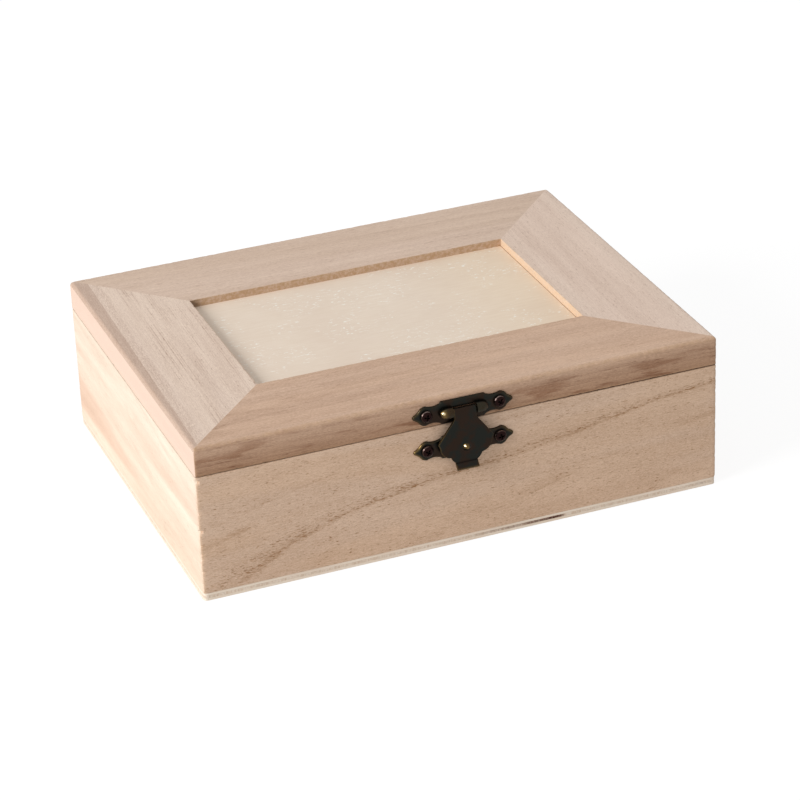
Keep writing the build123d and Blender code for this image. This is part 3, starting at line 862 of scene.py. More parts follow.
# ================================================================ plywood bottom
BRAD_HOLE = 1.15 * MM
BRAD_SUNK = 0.3 * MM          # how far above the foot a brad's head starts
BRAD_APART = 4 * MM           # mesh points nearer to each other than this are one brad's
PLY_ROUND = 1.5 * MM
PLY_STEP = 0.8 * MM
PLY_CORE = (0.33, 0.67)       # the core's share of the thickness
TEAR_DEEP = (0.36, 0.64)      # where in it a tear is deepest
TEAR_DEPTH, TEAR_LIP = 0.6 * MM, 0.1 * MM       # there, and beside it
TEAR_START, TEAR_END = 30 * MM, 1 * MM          # how slowly a tear begins and ends
# heights of the plies' edges in shares of the thickness, and how deep each row lies
PLY_ROWS = ((0.0, 0.10), (0.02, 0.0), (0.31, 0.0), (0.34, 0.10), (0.38, 0.04), (0.50, 0.04), (0.62, 0.04),
            (0.66, 0.10), (0.69, 0.0), (0.98, 0.0), (1.0, 0.10))
# places where the core is torn: (side of the box, from, to) along X or Y
PLY_TEARS = (("front", 0, 39 * MM), ("front", 87 * MM, 96 * MM), ("back", -70 * MM, -40 * MM),
             ("right", 10 * MM, 44 * MM))


def brad_places():
    """Where the brads stand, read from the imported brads."""
    spots = [v.co.xy for v in frame["nodes"]["bottom_brads"].data.vertices]
    places = []
    for spot in spots:
        if all((spot - place).length > BRAD_APART for place in places):
            brad = [one for one in spots if (one - spot).length < BRAD_APART]
            places.append(Vector([(min(one[i] for one in brad) + max(one[i] for one in brad)) / 2
                                  for i in range(2)]))
    return places


def ply_outline():
    """The bottom's outline with rounded corners, and the outward direction at each point."""
    outline = []
    corners = CORNERS[1:] + CORNERS[:1]
    centres = [Vector((sx * (HALF_LENGTH - PLY_ROUND), sy * (HALF_DEPTH - PLY_ROUND))) for sx, sy in corners]
    for i, centre in enumerate(centres):
        start = -pi / 2 + i * pi / 2
        for k in range(7):
            out = Vector((cos(start + k * pi / 12), sin(start + k * pi / 12)))
            outline.append((centre + out * PLY_ROUND, out))
        out = outline[-1][1]
        here, there = outline[-1][0], centres[(i + 1) % 4] + out * PLY_ROUND
        count = int((there - here).length / PLY_STEP)
        outline += [(here.lerp(there, k / count), out) for k in range(1, count)]
    return outline


def torn_share(x, y):
    """How badly the plywood's core is torn at a place on its outline."""
    worst = 0.0
    for side, start, end in PLY_TEARS:
        on_side = {"front": y < -HALF_DEPTH + MM, "back": y > HALF_DEPTH - MM,
                   "left": x < -HALF_LENGTH + MM, "right": x > HALF_LENGTH - MM}[side]
        along = x if side in ("front", "back") else y
        if on_side and start < along < end:
            ease = min((along - start) / TEAR_START, (end - along) / TEAR_END)
            ragged = 0.8 + 0.5 * noise.noise(Vector((along * 160, 2.0, 7.0)))
            worst = max(worst, min(ease, 1.0) * clipped(ragged))
    return worst


def make_bottom(material):
    """The plywood bottom: its core shows at the edge, set back a little and torn in places."""
    low, high = FOOT_LOW.z, FOOT_HIGH.z
    outline = ply_outline()
    around = len(outline)
    vertices, core, torn = [], [], []
    for share, back in PLY_ROWS:
        z = low + share * (high - low)
        inner = PLY_CORE[0] < share < PLY_CORE[1]
        for place, out in outline:
            wave = noise.noise(Vector((place.x * 260, place.y * 260, share * 3)))
            depth = (back + 0.03 + 0.03 * wave) * MM
            tear = torn_share(place.x, place.y) if inner else 0.0
            depth += tear * (TEAR_DEPTH if TEAR_DEEP[0] < share < TEAR_DEEP[1] else TEAR_LIP)
            at = place - out * depth
            vertices.append((at.x, at.y, z))
            core.append(1.0 if inner else 0.0)
            torn.append(tear)
    faces = quads(len(PLY_ROWS), around)
    add_faces_with_holes(vertices, faces, around, low, high)
    flat = [0.0] * (len(vertices) - len(core))
    piece = new_piece("bottom_ply", vertices, faces, material, {"core": core + flat, "torn": torn + flat})
    settle(piece, "box", "plywood", "bottom_panel")


def add_faces_with_holes(vertices, faces, around, low, high):
    """Close the bottom above and below, with the brads' holes through it."""
    last = (len(PLY_ROWS) - 1) * around
    loops = [list(range(around))]
    flat = [Vector(vertices[i][:2]) for i in range(around)]
    holes = brad_places()
    ring = 24
    for hole in holes:
        loops.append(list(range(len(flat), len(flat) + ring)))
        flat += [Vector(point) for point in circle(hole.x, hole.y, BRAD_HOLE, ring)]
    under, upper = list(range(around)), list(range(last, last + around))
    for ids, z in ((under, low), (upper, high)):
        ids += range(len(vertices), len(vertices) + len(flat) - around)
        vertices += [(at.x, at.y, z) for at in flat[around:]]
    edges = [(loop[i], loop[(i + 1) % len(loop)]) for loop in loops for i in range(len(loop))]
    cut = delaunay_2d_cdt(flat, edges, [], 0, 1e-9)
    for triangle in cut[2]:
        ids = [cut[3][i][0] for i in triangle]
        middle = sum((flat[i] for i in ids), Vector((0, 0))) / 3
        if any((middle - hole).length < BRAD_HOLE * 0.98 for hole in holes):
            continue
        faces.append(tuple(upper[i] for i in ids))
        faces.append(tuple(under[i] for i in reversed(ids)))
    for loop in loops[1:]:
        for a, b in zip(loop, loop[1:] + loop[:1]):
            faces.append((under[b], under[a], upper[a], upper[b]))


# ================================================================ stamped plates
PLATE_MIDDLE = 8.2 * MM       # half the tall middle
PLATE_STEP = 0.7 * MM
WAIST_DIP = 0.55 * MM
SHOULDER_REACH = 2.5 * MM
SHOULDER_DROP = 1.1 * MM
TIP_REACH = 5.2 * MM
TIP_HALF = 0.9 * MM
TIP_LENGTH = 0.6 * MM
HOLE_GAP = 0.15 * MM
THREAD_RADIUS = 1.1 * MM
BARREL_RADIUS = 2.05 * MM
BARREL_HALF = 9.3 * MM
BARREL_END = 3.0 * MM         # length of its tapering ends
BARREL_FILLET = 1.1 * MM
BAR_RADIUS = 1.35 * MM
BAR_HALF = 8.0 * MM
BAR_FIT = 0.1 * MM
MOVING_GAP = 0.3 * MM
WINDOW_RISE = 1.6 * MM
WINDOW_DROP = 2.0 * MM
NECK_HALF = 4.2 * MM
STUD_RADIUS = 2.2 * MM
STUD_TOP = 1.85 * MM
STUD_FILLET = 0.1 * MM
RIM_WIDTH = 0.6 * MM          # how far the stamped rim is rounded over
RIM_FALL = 0.42 * MM
RUB_WIDTH = 0.9 * MM          # and how far in it is rubbed
EAR_RUN = 3 * MM              # from the screws outwards, over which the rubbing grows
DISH_INNER, DISH_OUTER = 2.2 * MM, 3.0 * MM     # the sheet is dished round its screws
DISH_DEPTH = 0.12 * MM
LIP_HEIGHT = 0.12 * MM        # sheet left at the foot of the window above the bar, dark metal standing in for shade
PLATE_SHARP = 50              # degrees, from where an edge of a plate shows as sharp
JUST = 0.01 * MM              # keeps points that lie on an edge to one side of it
SHEET_STEP = 0.3 * MM         # between mesh points on the plates
BARREL_STEP = 0.25 * MM       # and along the barrel
# where the barrel's round has points: degrees round it, and mm outside its foot
BARREL_TURNS = (10, 20, 30, 40, 50, 58, 66, 73, 79, 84, 88)
BARREL_FOOT = (0.02, 0.15, 0.35)
# the barrel's worn end: a rubbed band across it, and a spot of painted highlight where the lamp's
# reflection falls, as (place, size) in mm
RUB_BAND = (-7.9, 0.9)
HIGHLIGHT_SPOT = ((-8.2, 0.8), 0.75)


def plate_outline(half_height):
    """The outline that both plates share, all the way round."""
    ear = half_height - PLATE_STEP
    top = (PLATE_MIDDLE, half_height)
    step = (PLATE_MIDDLE + PLATE_STEP, ear)
    crown = (SCREW_REACH + HOLE_GAP, ear)
    shoulder = (SCREW_REACH + SHOULDER_REACH, ear - SHOULDER_DROP)
    tip = SCREW_REACH + TIP_REACH
    notch = (tip - TIP_LENGTH, TIP_HALF)
    waist = ((step[0] + crown[0]) / 2, ear - WAIST_DIP)
    bulge = (shoulder[0] - SHOULDER_DROP, ear - SHOULDER_DROP / 4)
    hollow = ((shoulder[0] + notch[0]) / 2 - TIP_LENGTH / 2, (shoulder[1] + notch[1]) / 2)
    quarter = [top]
    quarter += arc_points(step, waist, crown, 14)
    quarter += arc_points(crown, bulge, shoulder, 8)
    quarter += arc_points(shoulder, hollow, notch, 8)
    quarter += arc_points(notch, (tip - TIP_LENGTH / 4, TIP_HALF / 2), (tip, 0), 6)
    quarter.append((tip, 0))
    half = quarter + [(x, -y) for x, y in reversed(quarter[:-1])]
    return half + [(-x, y) for x, y in reversed(half)]


def circle(x, y, radius, steps=32):
    turns = [2 * pi * i / steps for i in range(steps)]
    return [(x + radius * cos(t), y + radius * sin(t)) for t in turns]


def gap_to(points, outline):
    """Distance of every point to the closed outline."""
    points = np.asarray(points, float)
    start = np.asarray(outline, float)
    run = np.roll(start, -1, axis=0) - start
    size = np.maximum((run ** 2).sum(1), 1e-18)
    best = np.full(len(points), np.inf)
    for a, d, s in zip(start, run, size):
        share = np.clip(((points - a) @ d) / s, 0, 1)
        best = np.minimum(best, np.hypot(*(points - a - share[:, None] * d).T))
    return best


def inside(points, outline):
    """Which points lie inside the closed outline."""
    points = np.asarray(points, float)
    hit = np.zeros(len(points), bool)
    ring = list(outline)
    for (ax, ay), (bx, by) in zip(ring, ring[1:] + ring[:1]):
        if ay == by:
            continue
        crosses = (ay > points[:, 1]) != (by > points[:, 1])
        where = (bx - ax) * (points[:, 1] - ay) / (by - ay) + ax
        hit ^= crosses & (points[:, 0] < where)
    return hit


def stamped(outline, holes, step, extra, upper, under, crowded=None):
    """A stamped plate as a closed mesh: its upper and under sides are heights over one
    triangulation of the outline. The even grid stays out of crowded places, which have
    points of their own. Returns (vertices, faces, gap of each vertex to the rim)."""
    loops = [densified(outline, step)] + [densified(hole, step) for hole in holes]
    flat = [p for loop in loops for p in loop]
    edges, start = [], 0
    for loop in loops:
        edges += [(start + i, start + (i + 1) % len(loop)) for i in range(len(loop))]
        start += len(loop)
    low, high = np.min(outline, axis=0), np.max(outline, axis=0)
    columns, rows = (np.arange(low[i], high[i], step) for i in range(2))
    grid = np.array([(x, y) for x in columns for y in rows])
    if crowded:
        grid = grid[~crowded(grid)]
    grid = np.concatenate([grid, np.array(extra).reshape(-1, 2)])
    keep = inside(grid, loops[0]) & (gap_to(grid, loops[0]) > 0.4 * step)
    for hole in loops[1:]:
        keep &= ~inside(grid, hole) & (gap_to(grid, hole) > 0.3 * step)
    flat += [tuple(p) for p in grid[keep]]
    result = delaunay_2d_cdt([Vector(p) for p in flat], edges, [], 0, 1e-8)
    places = np.array([tuple(p) for p in result[0]])
    middles = np.array([sum((result[0][i] for i in t), Vector((0, 0))) / 3 for t in result[2]])
    good = inside(middles, loops[0])
    for hole in loops[1:]:
        good &= ~inside(middles, hole)
    triangles = [tuple(t) for t, ok in zip(result[2], good) if ok]
    rim = gap_to(places, loops[0])
    top, foot = upper(places, rim), under(places)
    count = len(places)
    vertices = [(x, y, z) for (x, y), z in zip(places, top)] + [(x, y, z) for (x, y), z in zip(places, foot)]
    faces = list(triangles) + [tuple(count + i for i in reversed(t)) for t in triangles]
    sides = dict.fromkeys(pair for a, b, c in triangles for pair in ((a, b), (b, c), (c, a)))
    for one, two in sides:
        if (two, one) not in sides:
            faces.append((two, one, count + one, count + two))
    return vertices, faces, np.concatenate([rim, rim])


def rounded_rim(rim):
    """How far the sheet falls away towards its rim."""
    share = np.clip(rim / RIM_WIDTH, 0, 1)
    return RIM_FALL * (1 - np.sqrt(np.maximum(0, 1 - (1 - share) ** 2)))


def blend_max(first, second, soft):
    """The larger of two heights, with a soft join."""
    share = np.clip(0.5 + 0.5 * (first - second) / soft, 0, 1)
    return second + (first - second) * share + soft * share * (1 - share)


def on_front(vertices, x, z):
    """Put a piece drawn flat (x right, y up, z outward) on the front face."""
    return [(x + vx, -HALF_DEPTH - vz, z + vy) for vx, vy, vz in vertices]


def lines_along(y, start, end):
    """A row of points along X at one height."""
    return [(x, y) for x in np.linspace(start, end, max(2, int((end - start) / BARREL_STEP)))]


def dished(places):
    """How far the sheet is dished round its screws."""
    fall = np.zeros(len(places))
    for s in (-1, 1):
        away = np.hypot(places[:, 0] - s * SCREW_REACH, places[:, 1])
        share = np.clip((DISH_OUTER - away) / (DISH_OUTER - DISH_INNER), 0, 1)
        fall += DISH_DEPTH * share * share * (3 - 2 * share)
    return fall


def ear_rub(across, rim, left, right):
    """How far a plate's rim is rubbed: softly, and mostly at the ends of its ears."""
    ears = np.clip((np.abs(across) - SCREW_REACH) / EAR_RUN, 0.15, 1) * np.where(across < 0, left, right)
    return ears * np.clip(1 - rim / RUB_WIDTH, 0, 1)


def screw_holes():
    return [circle(s * SCREW_REACH, 0, THREAD_RADIUS + HOLE_GAP) for s in (-1, 1)]


def barrel_points(straight, taper, channel, hollow, window):
    """Mesh points along the barrel, its tapering ends, its channel and its window."""
    points = []
    ring = [BARREL_RADIUS * sin(radians(t)) for t in BARREL_TURNS]
    ring += [BARREL_RADIUS + gap * MM for gap in BARREL_FOOT]
    for reach in ring:
        turns = np.linspace(-pi / 2, pi / 2, max(6, int(reach * pi / (0.2 * MM))))
        for s in (-1, 1):
            points += [(s * (straight + taper * reach * cos(t)), reach * sin(t)) for t in turns]
            points += lines_along(s * reach, 0.1 * MM - straight, straight - 0.1 * MM)
    for gap in (-2 * JUST, 2 * JUST):
        points += lines_along(gap - channel, -hollow, hollow)
        points += lines_along(channel - gap, -hollow, -window)
        points += lines_along(channel - gap, window, hollow)
        points += lines_along(WINDOW_RISE + gap, -window, window)
        for s in (-1, 1):
            points += [(s * (window + gap), y) for y in np.arange(channel, BARREL_RADIUS, 0.15 * MM)]
    return points


def barrel_rub(across, up, out):
    """How far the barrel is brightened: rubbed in a band near its left end, and a painted highlight at one
    spot.
    """
    place, size = RUB_BAND
    band = 0.6 * np.exp(-((across - place * MM) / (size * MM)) ** 2) + 0.10
    (spot_x, spot_y), size = HIGHLIGHT_SPOT
    away = (across - spot_x * MM) ** 2 + (up - spot_y * MM) ** 2
    proud = np.clip((out - BAR_OUT) / BARREL_RADIUS, 0, 1)
    return np.maximum(band, 2.2 * np.exp(-away / (size * MM) ** 2)) * np.minimum(2 * proud, 1)


def make_hasp_plate(material):
    """The lid's plate with its barrel, open behind and at the window below the bar; above the bar
    the sheet stays closed, dark metal that stands in for the shade seen there.
    """
    half = (HASP_HIGH.z - HASP_LOW.z) / 2
    straight = BARREL_HALF - BARREL_END
    taper = BARREL_END / BARREL_RADIUS
    channel = BAR_RADIUS + BAR_FIT
    hollow = BAR_HALF + MOVING_GAP
    window = NECK_HALF + MOVING_GAP

    def past_straight(places):
        return np.maximum(np.abs(places[:, 0]) - straight, 0) / taper

    def upper(places, rim):
        across, up = np.abs(places[:, 0]), places[:, 1]
        plate = SHEET - rounded_rim(rim) - dished(places)
        inner = BARREL_RADIUS ** 2 - up ** 2 - past_straight(places) ** 2
        barrel = np.where(inner > 0, BAR_OUT + np.sqrt(np.maximum(inner, 0)), 0)
        barrel[(across < window - JUST) & (up > channel - JUST)] = 0
        # above the bar the window stays closed with sheet: dark metal standing in for shade
        in_lip = (across < window) & (up > channel) & (up < WINDOW_RISE)
        return np.where(in_lip, LIP_HEIGHT, blend_max(barrel, plate, BARREL_FILLET))

    def under(places):
        inner = channel ** 2 - places[:, 1] ** 2
        within = (np.abs(places[:, 1]) < channel - JUST) & (np.abs(places[:, 0]) < hollow)
        return np.where(within, BAR_OUT + np.sqrt(np.maximum(inner, 0)), 0)

    def crowded(places):
        return np.hypot(past_straight(places), places[:, 1]) < BARREL_RADIUS + 0.5 * MM

    # the window's upper corners have a second point close by, so that the barrel's cut is square
    opening = [(-window, -WINDOW_DROP), (window, -WINDOW_DROP), (window, channel),
               (window - 2 * JUST, channel), (2 * JUST - window, channel), (-window, channel)]
    extra = barrel_points(straight, taper, channel, hollow, window)
    vertices, faces, rim = stamped(plate_outline(half), [*screw_holes(), opening], SHEET_STEP, extra,
                                   upper, under, crowded)
    across, up, out = np.array(vertices).T
    rubbed = np.maximum(ear_rub(across, rim, 0.3, 0.25), barrel_rub(across, up, out))
    placed = on_front(vertices, HASP_MIDDLE.x, (HASP_LOW.z + HASP_HIGH.z) / 2)
    piece = new_piece("hasp_plate_stamping", placed, faces, material, {"rim": rubbed}, PLATE_SHARP)
    settle(piece, "lid", "antique_bronze", "hasp_plate")


def make_catch_plate(material):
    """The body's plate with its raised stud."""
    half = (CATCH_HIGH.z - CATCH_LOW.z) / 2
    rise = STUD_TOP - SHEET
    ball = (STUD_RADIUS ** 2 + rise ** 2) / (2 * rise)

    def upper(places, rim):
        plate = SHEET - rounded_rim(rim) - dished(places)
        away = np.hypot(places[:, 0], places[:, 1])
        stud = STUD_TOP - ball + np.sqrt(np.maximum(ball ** 2 - away ** 2, 0))
        return blend_max(stud, plate, STUD_FILLET)

    def under(places):
        return np.zeros(len(places))

    vertices, faces, rim = stamped(plate_outline(half), screw_holes(), SHEET_STEP, [], upper, under)
    # the left ear is brightened more than the right: partly rubbed, partly a painted highlight of the lamp on
    # the left
    rubbed = ear_rub(np.array([v[0] for v in vertices]), rim, 1.0, 0.5)
    placed = on_front(vertices, HASP_MIDDLE.x, CATCH_MIDDLE_Z)
    piece = new_piece("catch_plate_stamping", placed, faces, material, {"rim": rubbed}, PLATE_SHARP)
    settle(piece, "box", "antique_bronze", "catch_plate")


# ================================================================ the hasp's leaf
DIMPLE_DROP = HASP_MIDDLE.z - CATCH_MIDDLE_Z
NECK_LENGTH = 2.3 * MM
FLARE_HALF, FLARE_DROP = 6.2 * MM, 5.35 * MM
LEAF_HALF, LEAF_SHOULDER = 10.7 * MM, 2.4 * MM
HIP_HALF = 9.9 * MM
CUSP_HALF, CUSP_DROP = 6.0 * MM, 3.55 * MM
LOBE_HALF, LOBE_DROP = 3.8 * MM, 6.1 * MM
TAB_HALF, TAB_DROP = 4.2 * MM, 6.1 * MM
TAB_BEND, TAB_TURN, TAB_TAIL = 0.7 * MM, radians(42), 2.45 * MM
DIMPLE_SPREAD, DIMPLE_HEIGHT = 1.0 * MM, 1.65 * MM
CREASE_WIDTH = 0.4 * MM       # of the grime in the tab's bend
LEAF_COLUMNS = 80             # of the painted shade in the tab's bend
LEAF_RIM = 0.16 * MM          # how far the leaf's cut edges are rounded
LEAF_SHARP = 60               # degrees, from where an edge of the leaf shows as sharp
DROP_STEP = 0.3 * MM          # between mesh points down the leaf
DIMPLE_STEP = 0.12 * MM       # and at the dimple
LEAST_STEP = 0.04 * MM
TAB_SHARES = (0.12, 0.25, 0.4, 0.55, 0.7, 0.85, 0.93, 1.0)     # of the tab's straight tail
ROLL_TURN = radians(285)      # how far the sheet is rolled round at the top


def leaf_widths():
    """Half the leaf's width down its front, as (drop below the bar, half width) points."""
    def swap(points):
        return [(-y, x) for x, y in points]

    shoulder = (LEAF_HALF, -DIMPLE_DROP + LEAF_SHOULDER)
    hip = (HIP_HALF, -DIMPLE_DROP)
    cusp = (CUSP_HALF, -DIMPLE_DROP - CUSP_DROP)
    lobe = (LOBE_HALF, -DIMPLE_DROP - LOBE_DROP)
    neck, flare = (NECK_HALF, -NECK_LENGTH), (FLARE_HALF, -FLARE_DROP)
    bend = ((NECK_HALF + FLARE_HALF) / 2 - SHEET / 4, -(NECK_LENGTH + FLARE_DROP) / 2)
    notch = ((LEAF_HALF + HIP_HALF) / 2 - SHEET / 4, -DIMPLE_DROP + LEAF_SHOULDER / 2)
    belly = (HIP_HALF - SHEET, -DIMPLE_DROP - CUSP_DROP / 2)
    round_lobe = (CUSP_HALF - SHEET / 2, -DIMPLE_DROP - (CUSP_DROP + LOBE_DROP) / 2 + SHEET / 2)
    side = [(NECK_HALF, 0)]
    side += arc_points(neck, bend, flare, 10) + [flare, shoulder]
    side += arc_points(shoulder, notch, hip, 8)[1:]
    side += arc_points(hip, belly, cusp, 14)
    side += arc_points(cusp, round_lobe, lobe, 10) + [lobe]
    side += [(TAB_HALF, -DIMPLE_DROP - TAB_DROP)]
    return swap(side)


def leaf_line():
    """The strip's middle line from the end of its roll to the end of its tab: a list of
    (up, out, length of strip below the bar, which sets its width)."""
    roll = BAR_RADIUS - SHEET / 2
    front = BAR_OUT + roll
    steps = 26
    turns = [ROLL_TURN * (1 - i / steps) for i in range(steps)]
    line = [(roll * sin(turn), BAR_OUT + roll * cos(turn), 0.0) for turn in turns]
    last = DIMPLE_DROP + TAB_DROP
    drops = {point[0] for point in leaf_widths()} | {i * DROP_STEP for i in range(int(last / DROP_STEP))}
    drops |= {DIMPLE_DROP + i * DIMPLE_STEP for i in range(-18, 19)} | {last}
    ordered = []
    for drop in sorted(drops):
        if not ordered or drop - ordered[-1] > LEAST_STEP:
            ordered.append(drop)
    line += [(-drop, front, drop) for drop in ordered]
    last = ordered[-1]
    for i in range(1, 9):
        turn = TAB_TURN * i / 8
        up, out = -last - TAB_BEND * sin(turn), front + TAB_BEND * (1 - cos(turn))
        line.append((up, out, last + TAB_BEND * turn))
    up, out, drop = line[-1]
    tails = [TAB_TAIL * share for share in TAB_SHARES]
    return line + [(up - tail * cos(TAB_TURN), out + tail * sin(TAB_TURN), drop + tail) for tail in tails]


def leaf_marks(x, half, drop, press):
    """How brightened and how darkened the leaf is at a place: rubbed on the dimple and at its cut
    edges, a painted highlight on the dimple, a painted reflection along the tab's lip, and
    painted shade in the tab's bend."""
    edge = max(0.0, 1 - (half - abs(x)) / (0.25 * MM))
    past = drop - DIMPLE_DROP - TAB_DROP
    length = TAB_BEND * TAB_TURN + TAB_TAIL
    # the tab's lip and its cut edges are painted lighter, as a painted reflection
    lip = 0.55 * max(0.0, 1 - (length - past) / (0.5 * MM))
    if past > 0:
        lip = max(lip, 0.6 * edge)
    share = press / DIMPLE_HEIGHT
    # a painted highlight on the side of the dimple towards the upper left, where the lamp's reflection falls
    spot = (x + 0.55 * MM) ** 2 + (drop - DIMPLE_DROP + 0.45 * MM) ** 2
    highlight = 1.9 * exp(-spot / (0.4 * MM) ** 2) if share > 0.2 else 0.0
    # the left cut edges are brighter than the right: partly rubbed, partly a painted highlight of the lamp on
    # the left
    rubbed = max((0.4 if x < 0 else 0.1) * edge, 1.1 * share - 0.3, highlight, lip)
    # painted shade in the tab's bend
    return rubbed, 0.9 * exp(-((past - 0.05 * length) / CREASE_WIDTH) ** 2)


def make_leaf(material):
    """The swinging leaf: one strip, rolled at the top, cut to its shield, pressed out in the
    middle and bent out at the tab, on a round bar that turns in the barrel."""
    drops, halves = zip(*leaf_widths())
    vertices, rim, grime = [], [], []
    line = leaf_line()
    for up, out, drop in line:
        half = float(np.interp(drop, drops, halves))
        for i in range(LEAF_COLUMNS + 1):
            share = 2 * i / LEAF_COLUMNS - 1
            x = half * (0.4 * share + 0.6 * share ** 3)      # columns crowd at the dimple
            away = (x * x + (drop - DIMPLE_DROP) ** 2) / DIMPLE_SPREAD ** 2
            press = DIMPLE_HEIGHT * exp(-away) if away < 16 else 0.0
            vertices.append((x, up, out + press))
            rubbed, painted_shade = leaf_marks(x, half, drop, press)
            rim.append(rubbed)
            grime.append(painted_shade)
    faces = flipped(quads(len(line), LEAF_COLUMNS + 1, closed=False))
    leaf = new_piece("hasp_leaf_sheet", on_front(vertices, HASP_MIDDLE.x, HASP_MIDDLE.z), faces, material,
                     {"rim": rim, "grime": grime})
    thick = leaf.modifiers.new("sheet", "SOLIDIFY")
    thick.thickness = SHEET
    thick.offset = 0
    thick.use_even_offset = True
    softened(leaf, "soft rim", 55, LEAF_RIM, 3)
    bake(leaf, LEAF_SHARP)
    join_in(leaf, turned_bar(material))
    settle(leaf, "hasp", "antique_bronze", "hasp_leaf")


def turned_bar(material):
    """The bar that the leaf's roll is closed on, with eased ends."""
    radius = BAR_RADIUS - SHEET
    profile = [(-BAR_HALF, radius * 0.7), (-BAR_HALF + 0.15 * MM, radius), (BAR_HALF - 0.15 * MM, radius),
               (BAR_HALF, radius * 0.7)]
    ring = 24
    vertices = [(x, r * cos(2 * pi * k / ring), BAR_OUT + r * sin(2 * pi * k / ring))
                for x, r in profile for k in range(ring)]
    last = (len(profile) - 1) * ring
    ends = [tuple(reversed(range(ring))), tuple(range(last, last + ring))]
    placed = on_front(vertices, HASP_MIDDLE.x, HASP_MIDDLE.z)
    # the bar is painted half dark, as painted shade inside the roll
    marks = {"rim": [0.0] * len(placed), "grime": [0.5] * len(placed)}
    return new_piece("hasp_bar", placed, flipped(quads(len(profile), ring) + ends), material, marks)


def join_in(main, other):
    """Add the other piece's mesh to the main one."""
    mesh = bmesh.new()
    mesh.from_mesh(main.data)
    mesh.from_mesh(other.data)
    mesh.to_mesh(main.data)
    mesh.free()
    data = other.data
    bpy.data.objects.remove(other)
    bpy.data.meshes.remove(data)
    finish_shading(main.data, LEAF_SHARP)


# ================================================================ screws and brads
TURNS, STEPS_DOWN = 73, 97        # points round and down a screw
HEAD_PART, UNDER_PART = 0.38, 0.42      # shares of the way down at the head's rim and its neck
WELD = 0.002 * MM
SCREW_SHARP = 40                  # degrees, from where an edge of a screw shows as sharp
HASP_SCREW = {"Head Radius": 2.25 * MM, "Head Height": 1.5 * MM, "Fullness": 0.72, "Cross Reach": 1.25 * MM,
              "Cross Width": 0.65 * MM, "Cross Depth": 0.9 * MM, "Thread Radius": THREAD_RADIUS,
              "Core Radius": 0.8 * MM, "Pitch": 0.9 * MM, "Length": 6.5 * MM}
HINGE_SCREW = dict(HASP_SCREW, **{"Head Radius": 1.8 * MM, "Head Height": 0.82 * MM, "Cross Reach": 1.0 * MM,
                                  "Cross Width": 0.5 * MM, "Cross Depth": 0.55 * MM, "Length": 6.8 * MM})
BRAD = {"Head Radius": 1.1 * MM, "Head Height": 0.2 * MM, "Fullness": 0.8, "Cross Reach": 0.0,
        "Cross Width": 0.0, "Cross Depth": 0.0, "Thread Radius": 0.6 * MM, "Core Radius": 0.6 * MM,
        "Pitch": 0.9 * MM, "Length": 13.5 * MM}
FRONT_FACING = (pi / 2, 0.0, 0.0)
BACK_FACING = (pi / 2, 0.0, pi)
DOWN_FACING = (pi, 0.0, 0.0)


